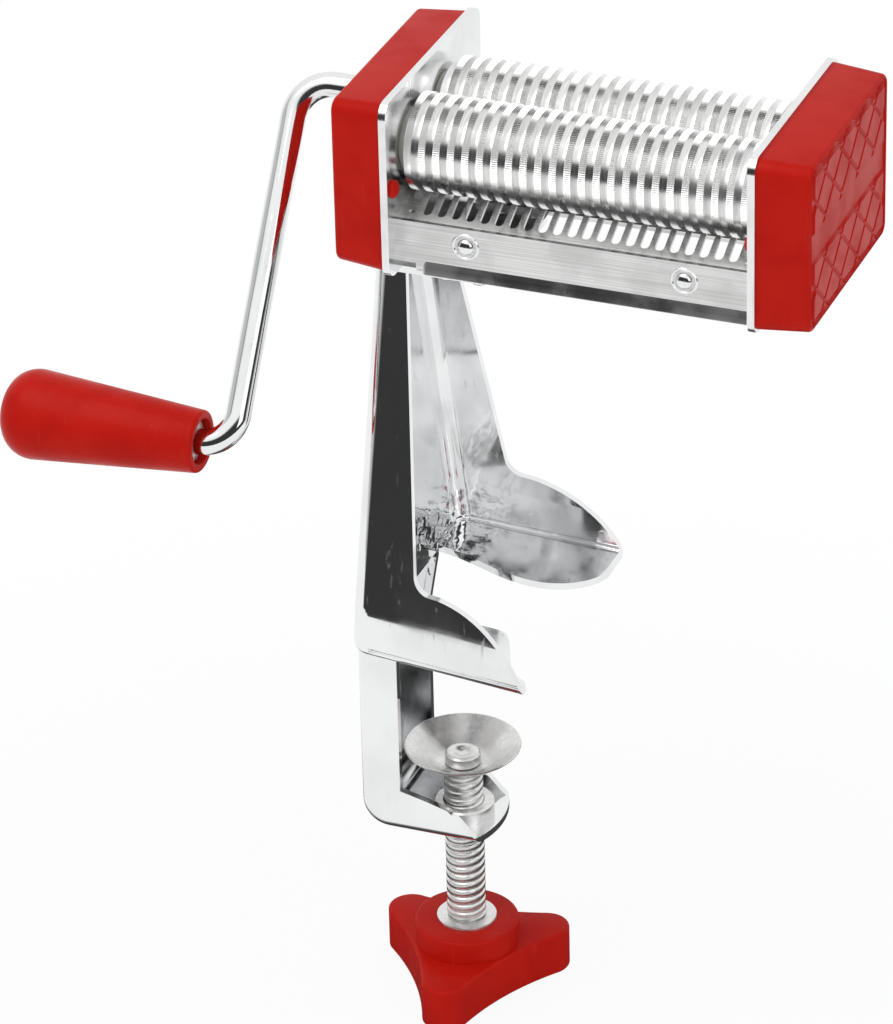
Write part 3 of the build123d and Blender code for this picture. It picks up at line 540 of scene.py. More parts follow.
class Workpiece:
    """A bmesh in millimetres in the part's frame, with the operations that shape and finish it."""

    def __init__(self, name: str) -> None:
        """Starts an empty piece."""
        self.name = name
        self.bm = bmesh.new()

    def chain(self, points: Iterable[Vector], closed: bool = False) -> list[BMVert | BMEdge]:
        """Adds a chain of edges.

        Args:
            points: its corners.
            closed: whether its last corner joins its first.

        Returns:
            The new vertices and edges.
        """
        verts = [self.bm.verts.new(point) for point in points]
        follow = verts[1:] + (verts[:1] if closed else [])
        edges = [self.bm.edges.new(pair) for pair in zip(verts, follow)]
        return verts + edges

    def turn(self, profile: Profile, centre: Vector, axis: Vector, steps: int = 96,
             closed: bool = False) -> None:
        """Turns a profile full circle.

        Args:
            profile: (distance along the axis, radius) pairs; radius 0 closes an end.
            centre: the point on the axis that distances start from.
            axis: the axis' direction.
            steps: facets round the circle.
            closed: whether the profile is a closed outline, as for a ring.
        """
        axis = axis.normalized()
        outward = axis.orthogonal().normalized()
        corners = [centre + axis * along + outward * radius for along, radius in profile]
        geometry = self.chain(corners, closed)
        sweep_round(self.bm, geometry, centre, axis, FULL_TURN, steps, merge=True)
        self.weld()

    def weld(self, distance: float = MERGE) -> None:
        """Merges vertices that share a place."""
        bmesh.ops.remove_doubles(self.bm, verts=self.bm.verts[:], dist=distance)

    def bevel(self, edges: Iterable[BMEdge], width: float, segments: int) -> list[BMFace]:
        """Rounds edges.

        Args:
            edges: the edges.
            width: the rounding's width.
            segments: facets across it.

        Returns:
            The new faces.
        """
        return bmesh.ops.bevel(self.bm, geom=list(edges), offset=width, offset_type="OFFSET",
                               segments=segments, profile=0.5, affect="EDGES", material=-1,
                               clamp_overlap=True)["faces"]

    def finish(self, body: Body, slot: Slot, finish: Finish, replaced: Sequence[str] = (),
               crease: float = 32.0, flip: bool = True) -> bpy.types.Object:
        """Turns the bmesh into a scene object that rides on a body.

        Args:
            body: the body that it moves with.
            slot: the material slot that it stands for; not used.
            finish: its finish.
            replaced: CAD nodes that it stands for.
            crease: edges bent by more than this many degrees stay sharp.
            flip: whether face directions are worked out anew.

        Returns:
            The object.
        """
        if flip:
            bmesh.ops.recalc_face_normals(self.bm, faces=self.bm.faces[:])
        limit = math.radians(crease)
        for face in self.bm.faces:
            face.smooth = True
        for edge in self.bm.edges:
            if len(edge.link_faces) == 2 and edge.calc_face_angle() > limit:
                edge.smooth = False
        bmesh.ops.scale(self.bm, vec=(MM, MM, MM), verts=self.bm.verts[:])
        mesh = bpy.data.meshes.new(self.name)
        self.bm.to_mesh(mesh)
        self.bm.free()
        mesh.materials.append(finish.material())
        made = bpy.data.objects.new(self.name, mesh)
        bpy.context.scene.collection.objects.link(made)
        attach(made, body.value)
        if replaced:
            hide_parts(*replaced)
        LOG.info("%s: %d faces on %s", self.name, len(mesh.polygons), body.value)
        return made


def dress_node(node: str, finish: Finish) -> None:
    """Gives a CAD node a finish and leaves its mesh alone.

    Args:
        node: the node's name.
        finish: the finish.
    """
    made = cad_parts[node]
    if not made.material_slots:
        made.data.materials.append(None)
    for place in made.material_slots:
        place.material = finish.material()
    LOG.info("%s: dressed as %s", node, finish.name)


def welded_copy(node: str, name: str) -> Workpiece:
    """Copies a CAD node's mesh, merged so that it can be shaded smoothly.

    Args:
        node: the node's name.
        name: the new piece's name.

    Returns:
        The piece, in millimetres.
    """
    piece = Workpiece(name)
    piece.bm.from_mesh(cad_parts[node].data)
    bmesh.ops.scale(piece.bm, vec=(1 / MM,) * 3, verts=piece.bm.verts[:])
    piece.weld(CAD_WELD)
    bmesh.ops.dissolve_limit(piece.bm, angle_limit=LEVEL_ANGLE, verts=piece.bm.verts[:],
                             edges=piece.bm.edges[:], use_dissolve_boundaries=False, delimit=set())
    return piece


X_AXIS = Vector((1, 0, 0))
Y_AXIS = Vector((0, 1, 0))
Z_AXIS = Vector((0, 0, 1))


# ---------------------------------------------------------------- sizes shared by the head's pieces
@dataclass(frozen=True)
class HeadSizes:
    """Places in the cutting head, in millimetres."""

    middle_x: float = 45.5
    middle_z: float = 137.6
    plate_gap: float = 98.0
    plate_thick: float = 2.0
    plate_depth: float = 68.0
    plate_height: float = 49.8
    axis_z: float = 144.7
    front_y: float = -14.4
    back_y: float = 9.6
    pair_y: float = -2.4
    rail_offset: float = 25.6
    rivet_x: tuple[float, float] = (15.5, 75.5)
    rivet_z: float = 122.6

    def plate_inner(self, side: Side) -> float:
        """Returns the X of a plate's inner face."""
        return self.middle_x + side.value * self.plate_gap / 2

    def plate_outer(self, side: Side) -> float:
        """Returns the X of a plate's outer face."""
        return self.plate_inner(side) + side.value * self.plate_thick

    def axis_y(self, way: Way) -> float:
        """Returns the Y of a roller's axis."""
        return self.front_y if way is Way.FRONT else self.back_y

    def rail_face(self, way: Way) -> float:
        """Returns the Y of a rail's outer face."""
        return self.pair_y + way.value * self.rail_offset


HEAD = HeadSizes()


# ---------------------------------------------------------------- sub-assemblies
@dataclass
class CuttingHead:
    """Side plates, rails, combs, bushes and their rivets."""

    head: HeadSizes = HEAD
    rivet_profile: Profile = ((-2.7, 0.0), (-2.7, 1.8), (-2.0, 1.8), (-2.0, 1.4), (0.0, 1.4), (0.0, 2.2),
                              (0.35, 2.18), (0.7, 1.9), (0.97, 1.42), (1.13, 0.8), (1.2, 0.0))
    rivet_steps: int = 32
    halo_steps: int = 40
    halo_profile: Profile = ((0.0, 3.0), (0.16, 3.2), (0.16, 3.6), (0.0, 3.8))
    tongue_rivet_x: tuple[float, float] = (8.0, 17.0)
    tongue_rivet_inset: float = 19.9
    tongue_rivet_root: float = -2.0
    tongue_rivet_extra: float = 1.2
    tongue_bottom: float = 110.7
    bead_x: tuple[float, float] = (3.5, 93.5)
    bead_z: tuple[float, float] = (113.3, 116.7)
    bead_depth: float = 1.2
    bead_taper: float = 0.95
    bead_corner: float = 1.08
    bead_edge: float = 0.3

    def build(self) -> None:
        """Builds and dresses every piece of the head."""
        for side in Side:
            dress_node(f"{side.name.lower()}_side_plate", SIDE_SHEET)
            for way in Way:
                dress_node(f"{way.name.lower()}_{side.name.lower()}_bush", NYLON)
        for way in Way:
            self.rail(way)
            dress_node(f"{way.name.lower()}_comb", BRUSHED)
            self.comb_rivets(way)
        self.tongue_rivets()

    def rail(self, way: Way) -> None:
        """Copies a CAD rail and adds the bead along its lower edge."""
        name = f"{way.name.lower()}_rail"
        piece = welded_copy(name, f"{name}_sheet")
        self.bead(piece, way)
        piece.finish(Body.FRAME, Slot.PLATE, BRUSHED, [name], flip=False)

    def bead(self, piece: Workpiece, way: Way) -> None:
        """Adds the wedge-shaped bead pressed out along a rail's lower edge.

        Args:
            piece: the rail.
            way: the front or the back rail.
        """
        bm = piece.bm
        face = self.head.rail_face(way)
        length, height = self.bead_x[1] - self.bead_x[0], self.bead_z[1] - self.bead_z[0]
        middle = Vector((sum(self.bead_x) / 2, face, sum(self.bead_z) / 2))
        verts = bmesh.ops.create_cube(bm, size=1.0, matrix=Matrix.Translation(middle))["verts"]
        bmesh.ops.scale(bm, vec=(length, 2 * self.bead_depth, height), verts=verts,
                        space=Matrix.Translation(-middle))
        top = [v for v in verts if v.co.z > middle.z and (v.co.y - face) * way.value > 0]
        bmesh.ops.translate(bm, vec=(0, -way.value * self.bead_depth * self.bead_taper, 0), verts=top)
        ends = {e for v in verts for e in v.link_edges
                if abs(e.verts[0].co.x - e.verts[1].co.x) < MERGE
                and all((v.co.y - face) * way.value > MERGE for v in e.verts)}
        piece.bevel(ends, self.bead_corner, 4)
        low = min(v.co.z for v in bm.verts if (v.co.y - face) * way.value > MERGE)
        proud = 4 * MERGE
        rim = [e for e in bm.edges
               if all(v.co.z < low + MERGE and (v.co.y - face) * way.value > proud for v in e.verts)]
        piece.bevel(rim, self.bead_edge, 3)

    def comb_rivets(self, way: Way) -> None:
        """Turns the two dome rivets of a comb, each with the ring that its setting tool left."""
        name = f"{way.name.lower()}_comb_rivets"
        piece = Workpiece(f"{name}_domed")
        for x in self.head.rivet_x:
            seat = Vector((x, self.head.rail_face(way), self.head.rivet_z))
            piece.turn(self.rivet_profile, seat, Y_AXIS * way.value, self.rivet_steps)
            piece.turn(self.halo_profile, seat, Y_AXIS * way.value, self.halo_steps, closed=True)
        piece.finish(Body.FRAME, Slot.PLATE, POLISHED, [name])

    def tongue_rivets(self) -> None:
        """Turns the four rivets under the bracket's tongue."""
        piece = Workpiece("bracket_rivets_domed")
        profile = [(along if along > self.tongue_rivet_root else along - self.tongue_rivet_extra, radius)
                   for along, radius in self.rivet_profile]
        for way in Way:
            for x in self.tongue_rivet_x:
                y = self.head.pair_y + way.value * self.tongue_rivet_inset
                piece.turn(profile, Vector((x, y, self.tongue_bottom)), -Z_AXIS, self.rivet_steps)
        piece.finish(Body.FRAME, Slot.PLATE, POLISHED, ["bracket_rivets"])


@dataclass
class EndCaps:
    """Two drafted caps with the pegs that hold them to the plates."""

    head: HeadSizes = HEAD
    length: float = 14.3
    margin: float = 0.8
    draft_y: float = 1.4
    draft_z: float = 0.8
    corner: float = 3.5
    edge: float = 1.2
    wall: float = 1.7
    face: float = 2.0
    peg_y: float = 30.3
    hole_radius: float = 3.9
    peg_profile: Profile = ((-8.0, 0.0), (-8.0, 1.8), (-2.0, 1.8), (-2.0, 1.6), (0.0, 1.6), (0.0, 2.4),
                            (0.35, 2.5), (0.85, 2.35), (1.3, 1.8), (1.6, 1.0), (1.7, 0.0))
    peg_steps: int = 32
    corner_segments: int = 8
    edge_segments: int = 5
    border: float = 1.4
    pad_pitch: float = 9.0
    pad_slope: float = 42.0
    groove: float = 0.7
    groove_depth: float = 0.6
    least_pad: float = 5.0
    plain_band: tuple[tuple[float, float], tuple[float, float]] = ((-4.0, 13.0), (-3.8, 3.8))

    def build(self) -> None:
        """Builds both caps."""
        for side in Side:
            piece = self.shell(side)
            for y in (-self.peg_y, self.peg_y):
                seat = Vector((self.head.plate_inner(side), y, self.head.middle_z))
                piece.turn(self.peg_profile, seat, -X_AXIS * side.value, self.peg_steps)
            node = f"{side.name.lower()}_end_cap"
            piece.finish(Body.FRAME, Slot.RED, RED, [node])

    def shell(self, side: Side) -> Workpiece:
        """Shapes a cap's hollow shell from a block.

        Args:
            side: the end that it closes.

        Returns:
            The piece.
        """
        piece = Workpiece(f"{side.name.lower()}_cap")
        bm = piece.bm
        rim = self.head.plate_outer(side)
        outer = rim + side.value * self.length
        half_y = self.head.plate_depth / 2 - self.margin
        half_z = self.head.plate_height / 2 - self.margin
        centre = Vector(((rim + outer) / 2, 0, self.head.middle_z))
        bmesh.ops.create_cube(bm, size=1.0, matrix=Matrix.Translation(centre))
        bmesh.ops.scale(bm, vec=(self.length, 2 * half_y, 2 * half_z), verts=bm.verts[:],
                        space=Matrix.Translation(-centre))
        far = [v for v in bm.verts if abs(v.co.x - outer) < MERGE]
        bmesh.ops.scale(bm, vec=(1, 1 - self.draft_y / half_y, 1 - self.draft_z / half_z), verts=far,
                        space=Matrix.Translation(-centre))
        long_edges = [e for e in bm.edges if abs((e.verts[0].co - e.verts[1].co).x) > self.length / 2]
        piece.bevel(long_edges, self.corner, self.corner_segments)
        outer_face = max(bm.faces, key=lambda f: f.calc_center_median().x * side.value)
        piece.bevel(outer_face.edges, self.edge, self.edge_segments)
        self.lattice(piece, side, outer)
        self.hollow(piece, side, rim)
        return piece

    def lattice(self, piece: Workpiece, side: Side, outer: float) -> None:
        """Presses crossing grooves into a cap's outer face, above and below a plain band.

        Args:
            piece: the cap.
            side: the end that it closes.
            outer: X of its outer face.
        """
        bm = piece.bm
        middle = self.head.middle_z

        def on_face() -> list[BMFace]:
            """Returns the faces that lie level on the cap's outer face."""
            return [f for f in bm.faces if all(abs(v.co.x - outer) < MERGE for v in f.verts)]

        def cut(faces: list[BMFace], place: Vector, normal: Vector) -> None:
            """Cuts faces along a plane."""
            split(bm, list({item for f in faces for item in (f, *f.edges, *f.verts)}), place, normal)

        panel = max(on_face(), key=lambda f: f.calc_area())
        bmesh.ops.inset_region(bm, faces=[panel], thickness=self.border, use_even_offset=True)
        low, high = (middle + level for level in self.plain_band[side is Side.RIGHT])
        cut([panel], Vector((outer, 0, low)), Z_AXIS)
        large = [f for f in on_face() if f.calc_area() > self.pad_pitch ** 2]
        cut(large, Vector((outer, 0, high)), Z_AXIS)
        half_y, half_z = self.head.plate_depth / 2, self.head.plate_height / 2

        def patterned() -> list[BMFace]:
            """Returns the level faces inside the border and off the plain band."""
            return [f for f in on_face() if not low < f.calc_center_median().z < high
                    and max(abs(v.co.z - middle) for v in f.verts) < half_z - self.margin - self.border
                    and max(abs(v.co.y) for v in f.verts) < half_y - self.margin - self.border]

        reach = math.hypot(half_y, half_z)
        count = int(reach / self.pad_pitch)
        for slope in (self.pad_slope, -self.pad_slope):
            angle = math.radians(slope)
            normal = Vector((0, -math.sin(angle), math.cos(angle)))
            for index in range(-count, count + 1):
                cut(patterned(), Vector((outer, 0, middle)) + normal * index * self.pad_pitch, normal)
        pads = patterned()
        lines = {v for f in pads for v in f.verts}
        wide = [f for f in pads if f.calc_area() > self.least_pad]
        bmesh.ops.inset_individual(bm, faces=wide, thickness=self.groove, use_even_offset=True)
        bmesh.ops.translate(bm, vec=(-side.value * self.groove_depth, 0, 0), verts=list(lines))

    def hollow(self, piece: Workpiece, side: Side, rim: float) -> None:
        """Hollows a cap from its open end, and bores the crank's hole in the left one.

        Args:
            piece: the cap's block.
            side: the end that it closes.
            rim: X of its open end.
        """
        bm = piece.bm
        mouth = min(bm.faces, key=lambda f: f.calc_center_median().x * side.value)
        bmesh.ops.inset_region(bm, faces=[mouth], thickness=self.wall, use_even_offset=True)
        depth = self.length - self.face
        made = bmesh.ops.extrude_discrete_faces(bm, faces=[mouth])
        floor = made["faces"][0]
        bmesh.ops.translate(bm, vec=(side.value * depth, 0, 0), verts=floor.verts[:])
        share = depth / self.length
        half_y = self.head.plate_depth / 2 - self.margin - self.wall
        half_z = self.head.plate_height / 2 - self.margin - self.wall
        centre = Vector((rim, 0, self.head.middle_z))
        narrowing = (1, 1 - share * self.draft_y / half_y, 1 - share * self.draft_z / half_z)
        bmesh.ops.scale(bm, vec=narrowing, verts=floor.verts[:], space=Matrix.Translation(-centre))
        if side is Side.LEFT:
            self.bore(piece, floor)

    def bore(self, piece: Workpiece, floor: BMFace) -> None:
        """Opens the crank's hole through the cap's face.

        Args:
            piece: the cap.
            floor: the hollow's floor.
        """
        bm = piece.bm
        sides = len(floor.edges)
        end = min(v.co.x for v in bm.verts)
        level = [f for f in bm.faces if all(v.co.x < end + MERGE for v in f.verts)]
        hole = Vector((end, self.head.back_y, self.head.axis_z))
        outer = min(level, key=lambda f: (f.calc_center_bounds() - hole).length - math.sqrt(f.calc_area()))
        loops = []
        for face in (outer, floor):
            rim_edges = list(face.edges)
            x = face.calc_center_median().x
            centre = Vector((x, self.head.back_y, self.head.axis_z))
            place = Matrix.Translation(centre) @ Matrix.Rotation(math.pi / 2, 4, "Y")
            ring = bmesh.ops.create_circle(bm, cap_ends=False, radius=self.hole_radius, segments=sides,
                                           matrix=place)
            ring_edges = list({e for v in ring["verts"] for e in v.link_edges})
            bmesh.ops.delete(bm, geom=[face], context="FACES_ONLY")
            bmesh.ops.bridge_loops(bm, edges=rim_edges + ring_edges)
            loops += ring_edges
        bmesh.ops.bridge_loops(bm, edges=loops)


@dataclass
class RollerPair:
    """The two ringed rollers, with milled rims."""

    head: HeadSizes = HEAD
    pitch: float = 4.0
    ring_width: float = 1.9
    ring_radius: float = 13.0
    core_radius: float = 10.65
    front_rings: int = 24
    teeth: int = 144
    tooth_depth: float = 0.28
    journal: float = 5.0
    shoulder: float = 47.8
    left_end: float = -14.5
    right_end: float = 105.8
    clip_groove: tuple[float, float] = (103.5, 104.3)
    clip_root: float = 4.2
    socket_end: float = -2.5
    rod_radius: float = 3.5

    def build(self) -> None:
        """Builds both rollers."""
        for way, body in ((Way.FRONT, Body.IDLER), (Way.BACK, Body.DRIVE)):
            self.roller(way, body)
        dress_node("crank_pin", ZINC)

    def ring_places(self, way: Way) -> list[float]:
        """Returns the X of the middle of each ring of a roller."""
        count = self.front_rings - (way is Way.BACK)
        return [self.head.middle_x + self.pitch * (i - (count - 1) / 2) for i in range(count)]

    def roller(self, way: Way, body: Body) -> None:
        """Turns a roller and mills the rims of its rings.

        Args:
            way: the front or the back roller.
            body: the body that it moves with.
        """
        low, high = self.head.middle_x - self.shoulder, self.head.middle_x + self.shoulder
        if way is Way.BACK:
            profile = [(self.socket_end, 0.0), (self.socket_end, self.rod_radius),
                       (self.left_end, self.rod_radius)]
        else:
            profile = [(self.left_end, 0.0)]
        profile += [(self.left_end, self.journal), (low, self.journal), (low, self.core_radius)]
        half = self.ring_width / 2
        for x in self.ring_places(way):
            profile += [(x - half, self.core_radius), (x - half, self.ring_radius),
                        (x + half, self.ring_radius), (x + half, self.core_radius)]
        groove_in, groove_out = self.clip_groove
        profile += [(high, self.core_radius), (high, self.journal), (groove_in, self.journal),
                    (groove_in, self.clip_root), (groove_out, self.clip_root), (groove_out, self.journal),
                    (self.right_end, self.journal), (self.right_end, 0.0)]
        node = f"{way.name.lower()}_roller"
        piece = Workpiece(f"{node}_milled")
        centre = Vector((0, self.head.axis_y(way), self.head.axis_z))
        piece.turn(profile, centre, X_AXIS, 2 * self.teeth)
        self.mill(piece, centre)
        piece.finish(body, Slot.ROLLER, TURNED, [node], crease=28.0)

    def mill(self, piece: Workpiece, centre: Vector) -> None:
        """Presses a row of grooves across each rim.

        Args:
            piece: the roller.
            centre: a point on its axis.
        """
        step = FULL_TURN / (2 * self.teeth)
        start = None
        for vert in piece.bm.verts:
            arm = Vector((0, vert.co.y - centre.y, vert.co.z - centre.z))
            if arm.length < self.ring_radius - MERGE * 10:
                continue
            angle = math.atan2(arm.z, arm.y)
            start = angle if start is None else start
            if round((angle - start) / step) % 2:
                vert.co -= arm.normalized() * self.tooth_depth


@dataclass
class GearTrain:
    """Gears and their snap rings inside the right cap."""

    nodes: tuple[tuple[str, Finish], ...] = (("drive_gear", NYLON), ("driven_gear", NYLON),
                                             ("drive_gear_clip", ZINC), ("driven_gear_clip", ZINC))

    def build(self) -> None:
        """Dresses each piece."""
        for node, finish in self.nodes:
            dress_node(node, finish)


@dataclass
class Crank:
    """Bent rod, moulded grip and its washer."""

    head: HeadSizes = HEAD
    rod_radius: float = 3.5
    rod_sides: int = 40
    socket_end: float = -2.5
    plane_x: float = -45.6
    grip_y: float = -45.0
    grip_z: float = 61.7
    spindle_end: float = -100.3
    bends: tuple[float, float] = (10.0, 9.0)
    bend_steps: int = 14
    grip_start: float = -54.3
    grip_length: float = 57.0
    grip_small: float = 8.55
    grip_large: float = 12.3
    dome: float = 9.0
    recess_radius: float = 6.2
    recess_depth: float = 3.0
    bore_depth: float = 46.6
    bore_gap: float = 0.08
    lip: float = 0.9
    rim_break: float = 0.3
    lip_steps: int = 4
    cone_steps: int = 8
    dome_steps: int = 14
    dome_fullness: float = 0.72

    def build(self) -> None:
        """Builds the rod, the grip and the washer."""
        self.rod()
        self.grip()
        dress_node("grip_washer", ZINC)

    def rod(self) -> None:
        """Bends a round rod along the crank's route."""
        corners = [Vector((self.socket_end, self.head.back_y, self.head.axis_z)),
                   Vector((self.plane_x, self.head.back_y, self.head.axis_z)),
                   Vector((self.plane_x, self.grip_y, self.grip_z)),
                   Vector((self.spindle_end, self.grip_y, self.grip_z))]
        piece = Workpiece("crank_rod")
        bm = piece.bm
        heading = (corners[1] - corners[0]).normalized()
        turn = heading.to_track_quat("Z", "Y").to_matrix().to_4x4()
        ring = bmesh.ops.create_circle(bm, cap_ends=True, radius=self.rod_radius, segments=self.rod_sides,
                                       matrix=Matrix.Translation(corners[0]) @ turn)
        edges = list({e for v in ring["verts"] for e in v.link_edges})
        at = corners[0]
        for index, radius in enumerate(self.bends):
            following = (corners[index + 2] - corners[index + 1]).normalized()
            angle = heading.angle(following)
            reach = radius * math.tan(angle / 2)
            edges = self.push(bm, edges, corners[index + 1] - heading * reach - at)
            axis = heading.cross(following).normalized()
            start = corners[index + 1] - heading * reach
            pivot = start + axis.cross(heading) * radius
            verts = list({v for e in edges for v in e.verts})
            made = sweep_round(bm, verts + edges, pivot, axis, angle, self.bend_steps)
            edges = [item for item in made if isinstance(item, BMEdge)]
            at = corners[index + 1] + following * reach
            heading = following
        edges = self.push(bm, edges, corners[-1] - at)
        bmesh.ops.edgeloop_fill(bm, edges=edges)
        piece.weld()
        piece.finish(Body.DRIVE, Slot.PLATE, POLISHED, ["crank_arm"])

    @staticmethod
    def push(bm: bmesh.types.BMesh, edges: list[BMEdge], step: Vector) -> list[BMEdge]:
        """Draws a loop of edges out into a tube.

        Args:
            bm: the mesh.
            edges: the loop.
            step: how far it goes.

        Returns:
            The loop at the new end.
        """
        made = bmesh.ops.extrude_edge_only(bm, edges=edges)["geom"]
        bmesh.ops.translate(bm, vec=step, verts=[item for item in made if isinstance(item, BMVert)])
        far = {item for item in made if isinstance(item, BMVert)}
        return [item for item in made if isinstance(item, BMEdge) and all(v in far for v in item.verts)]

    def grip(self) -> None:
        """Turns the grip, with its bore, its recess and a rounded lip."""
        start, bore = self.grip_start, self.rod_radius + self.bore_gap
        cone = self.grip_length - self.dome
        profile = [(start - self.bore_depth, 0.0), (start - self.bore_depth, bore),
                   (start - self.recess_depth, bore), (start - self.recess_depth, self.recess_radius),
                   (start - self.rim_break, self.recess_radius),
                   (start, self.recess_radius + self.rim_break)]
        for step in range(self.lip_steps + 1):
            angle = step / self.lip_steps * math.pi / 2
            profile.append((start - self.lip * (1 - math.cos(angle)),
                            self.grip_small - self.lip * (1 - math.sin(angle))))
        for step in range(1, self.cone_steps + 1):
            share = step / self.cone_steps
            profile.append((start - self.lip - (cone - self.lip) * share,
                            self.grip_small + (self.grip_large - self.grip_small) * share))
        for step in range(1, self.dome_steps):
            angle = step / self.dome_steps * math.pi / 2
            profile.append((start - cone - self.dome * math.sin(angle),
                            self.grip_large * math.cos(angle) ** self.dome_fullness))
        profile.append((start - cone - self.dome, 0.0))
        piece = Workpiece("grip_moulding")
        piece.turn(profile, Vector((0, self.grip_y, self.grip_z)), X_AXIS)
        piece.finish(Body.GRIP, Slot.RED, RED, ["crank_grip"])


@dataclass
class ClampBracket:
    """The pressed bracket and the collar swaged into its arm."""

    lean: float = 0.245
    foot_lean: float = 0.03
    foot_half_width: float = 41.5
    roll_start: float = 15.0
    roll_end: float = 3.0
    roll_reach: float = 9.0
    roll_depth: float = 3.2
    row_height: float = 1.5
    underside: float = -0.5
    foot_top: float = 26.0
    floor_top: float = 2.3
    floor_edge: float = 38.5
    heel_x: float = -4.0
    narrow_x: tuple[float, float] = (19.0, 31.0)
    tip_share: float = 0.28
    spread: float = 0.08
    droop: float = 0.04
    nut_profile: Profile = ((-71.1, 5.56), (-71.1, 7.0), (-69.1, 7.0), (-69.1, 8.5), (-65.6, 8.5),
                            (-65.1, 8.0), (-65.1, 5.9), (-65.4, 5.56))

    def build(self) -> None:
        """Builds the bracket and its collar."""
        piece = welded_copy("clamp_bracket", "bracket_pressing")
        self.roll_feet(piece)
        self.set_tips(piece)
        made = piece.finish(Body.FRAME, Slot.PLATE, PRESSED, ["clamp_bracket"], crease=24.0, flip=False)
        weighted = made.modifiers.new("even_shading", "WEIGHTED_NORMAL")
        weighted.keep_sharp = True
        collar = Workpiece("arm_collar")
        collar.turn(self.nut_profile, Vector(), Z_AXIS, 64, closed=True)
        collar.finish(Body.FRAME, Slot.ZINC, ZINC, ["clamp_nut"])

    def roll_feet(self, piece: Workpiece) -> None:
        """Rolls the lower part of the front flange in, from its lean to nearly upright.

        Args:
            piece: the bracket.
        """
        bm = piece.bm
        rows = round((self.roll_start - self.roll_end) / self.row_height)
        levels = [self.roll_start - index * self.row_height for index in range(rows + 1)]
        for level in levels + [level - self.row_height / 2 for level in levels[-2:]]:
            split(bm, bm.verts[:] + bm.edges[:] + bm.faces[:], Z_AXIS * level, Z_AXIS)
        turn_rate = (self.lean - self.foot_lean) / (self.roll_start - self.roll_end)
        for vert in bm.verts:
            if vert.co.z >= self.roll_start or vert.co.z < self.underside:
                continue
            drop = self.roll_start - max(vert.co.z, self.roll_end)
            plane = self.foot_half_width - self.lean * max(vert.co.z, 0.0)
            share = (abs(vert.co.y) - plane + self.roll_reach) / (self.roll_reach - self.roll_depth)
            share = min(max(share, 0.0), 1.0)
            if vert.co.y < 0:
                vert.co.y += turn_rate * drop * drop / 2 * share

    def set_tips(self, piece: Workpiece) -> None:
        """Narrows the front foot's floor towards its tip and lets both tips spread and droop a little.

        Args:
            piece: the bracket.
        """
        for vert in piece.bm.verts:
            x, y, z = vert.co
            if not self.underside < z < self.foot_top or x < self.heel_x:
                continue
            if z < self.floor_top and -self.floor_edge < y < 0:
                start, end = self.narrow_x
                share = min(max((x - start) / (end - start), 0.0), 1.0)
                kept = 1 - (1 - self.tip_share) * share * share * (3 - 2 * share)
                vert.co.y = -self.floor_edge + (y + self.floor_edge) * kept
            along = x - self.heel_x
            vert.co.y -= along * (self.spread if y < 0 else self.spread / 2)
            vert.co.z -= along * self.droop


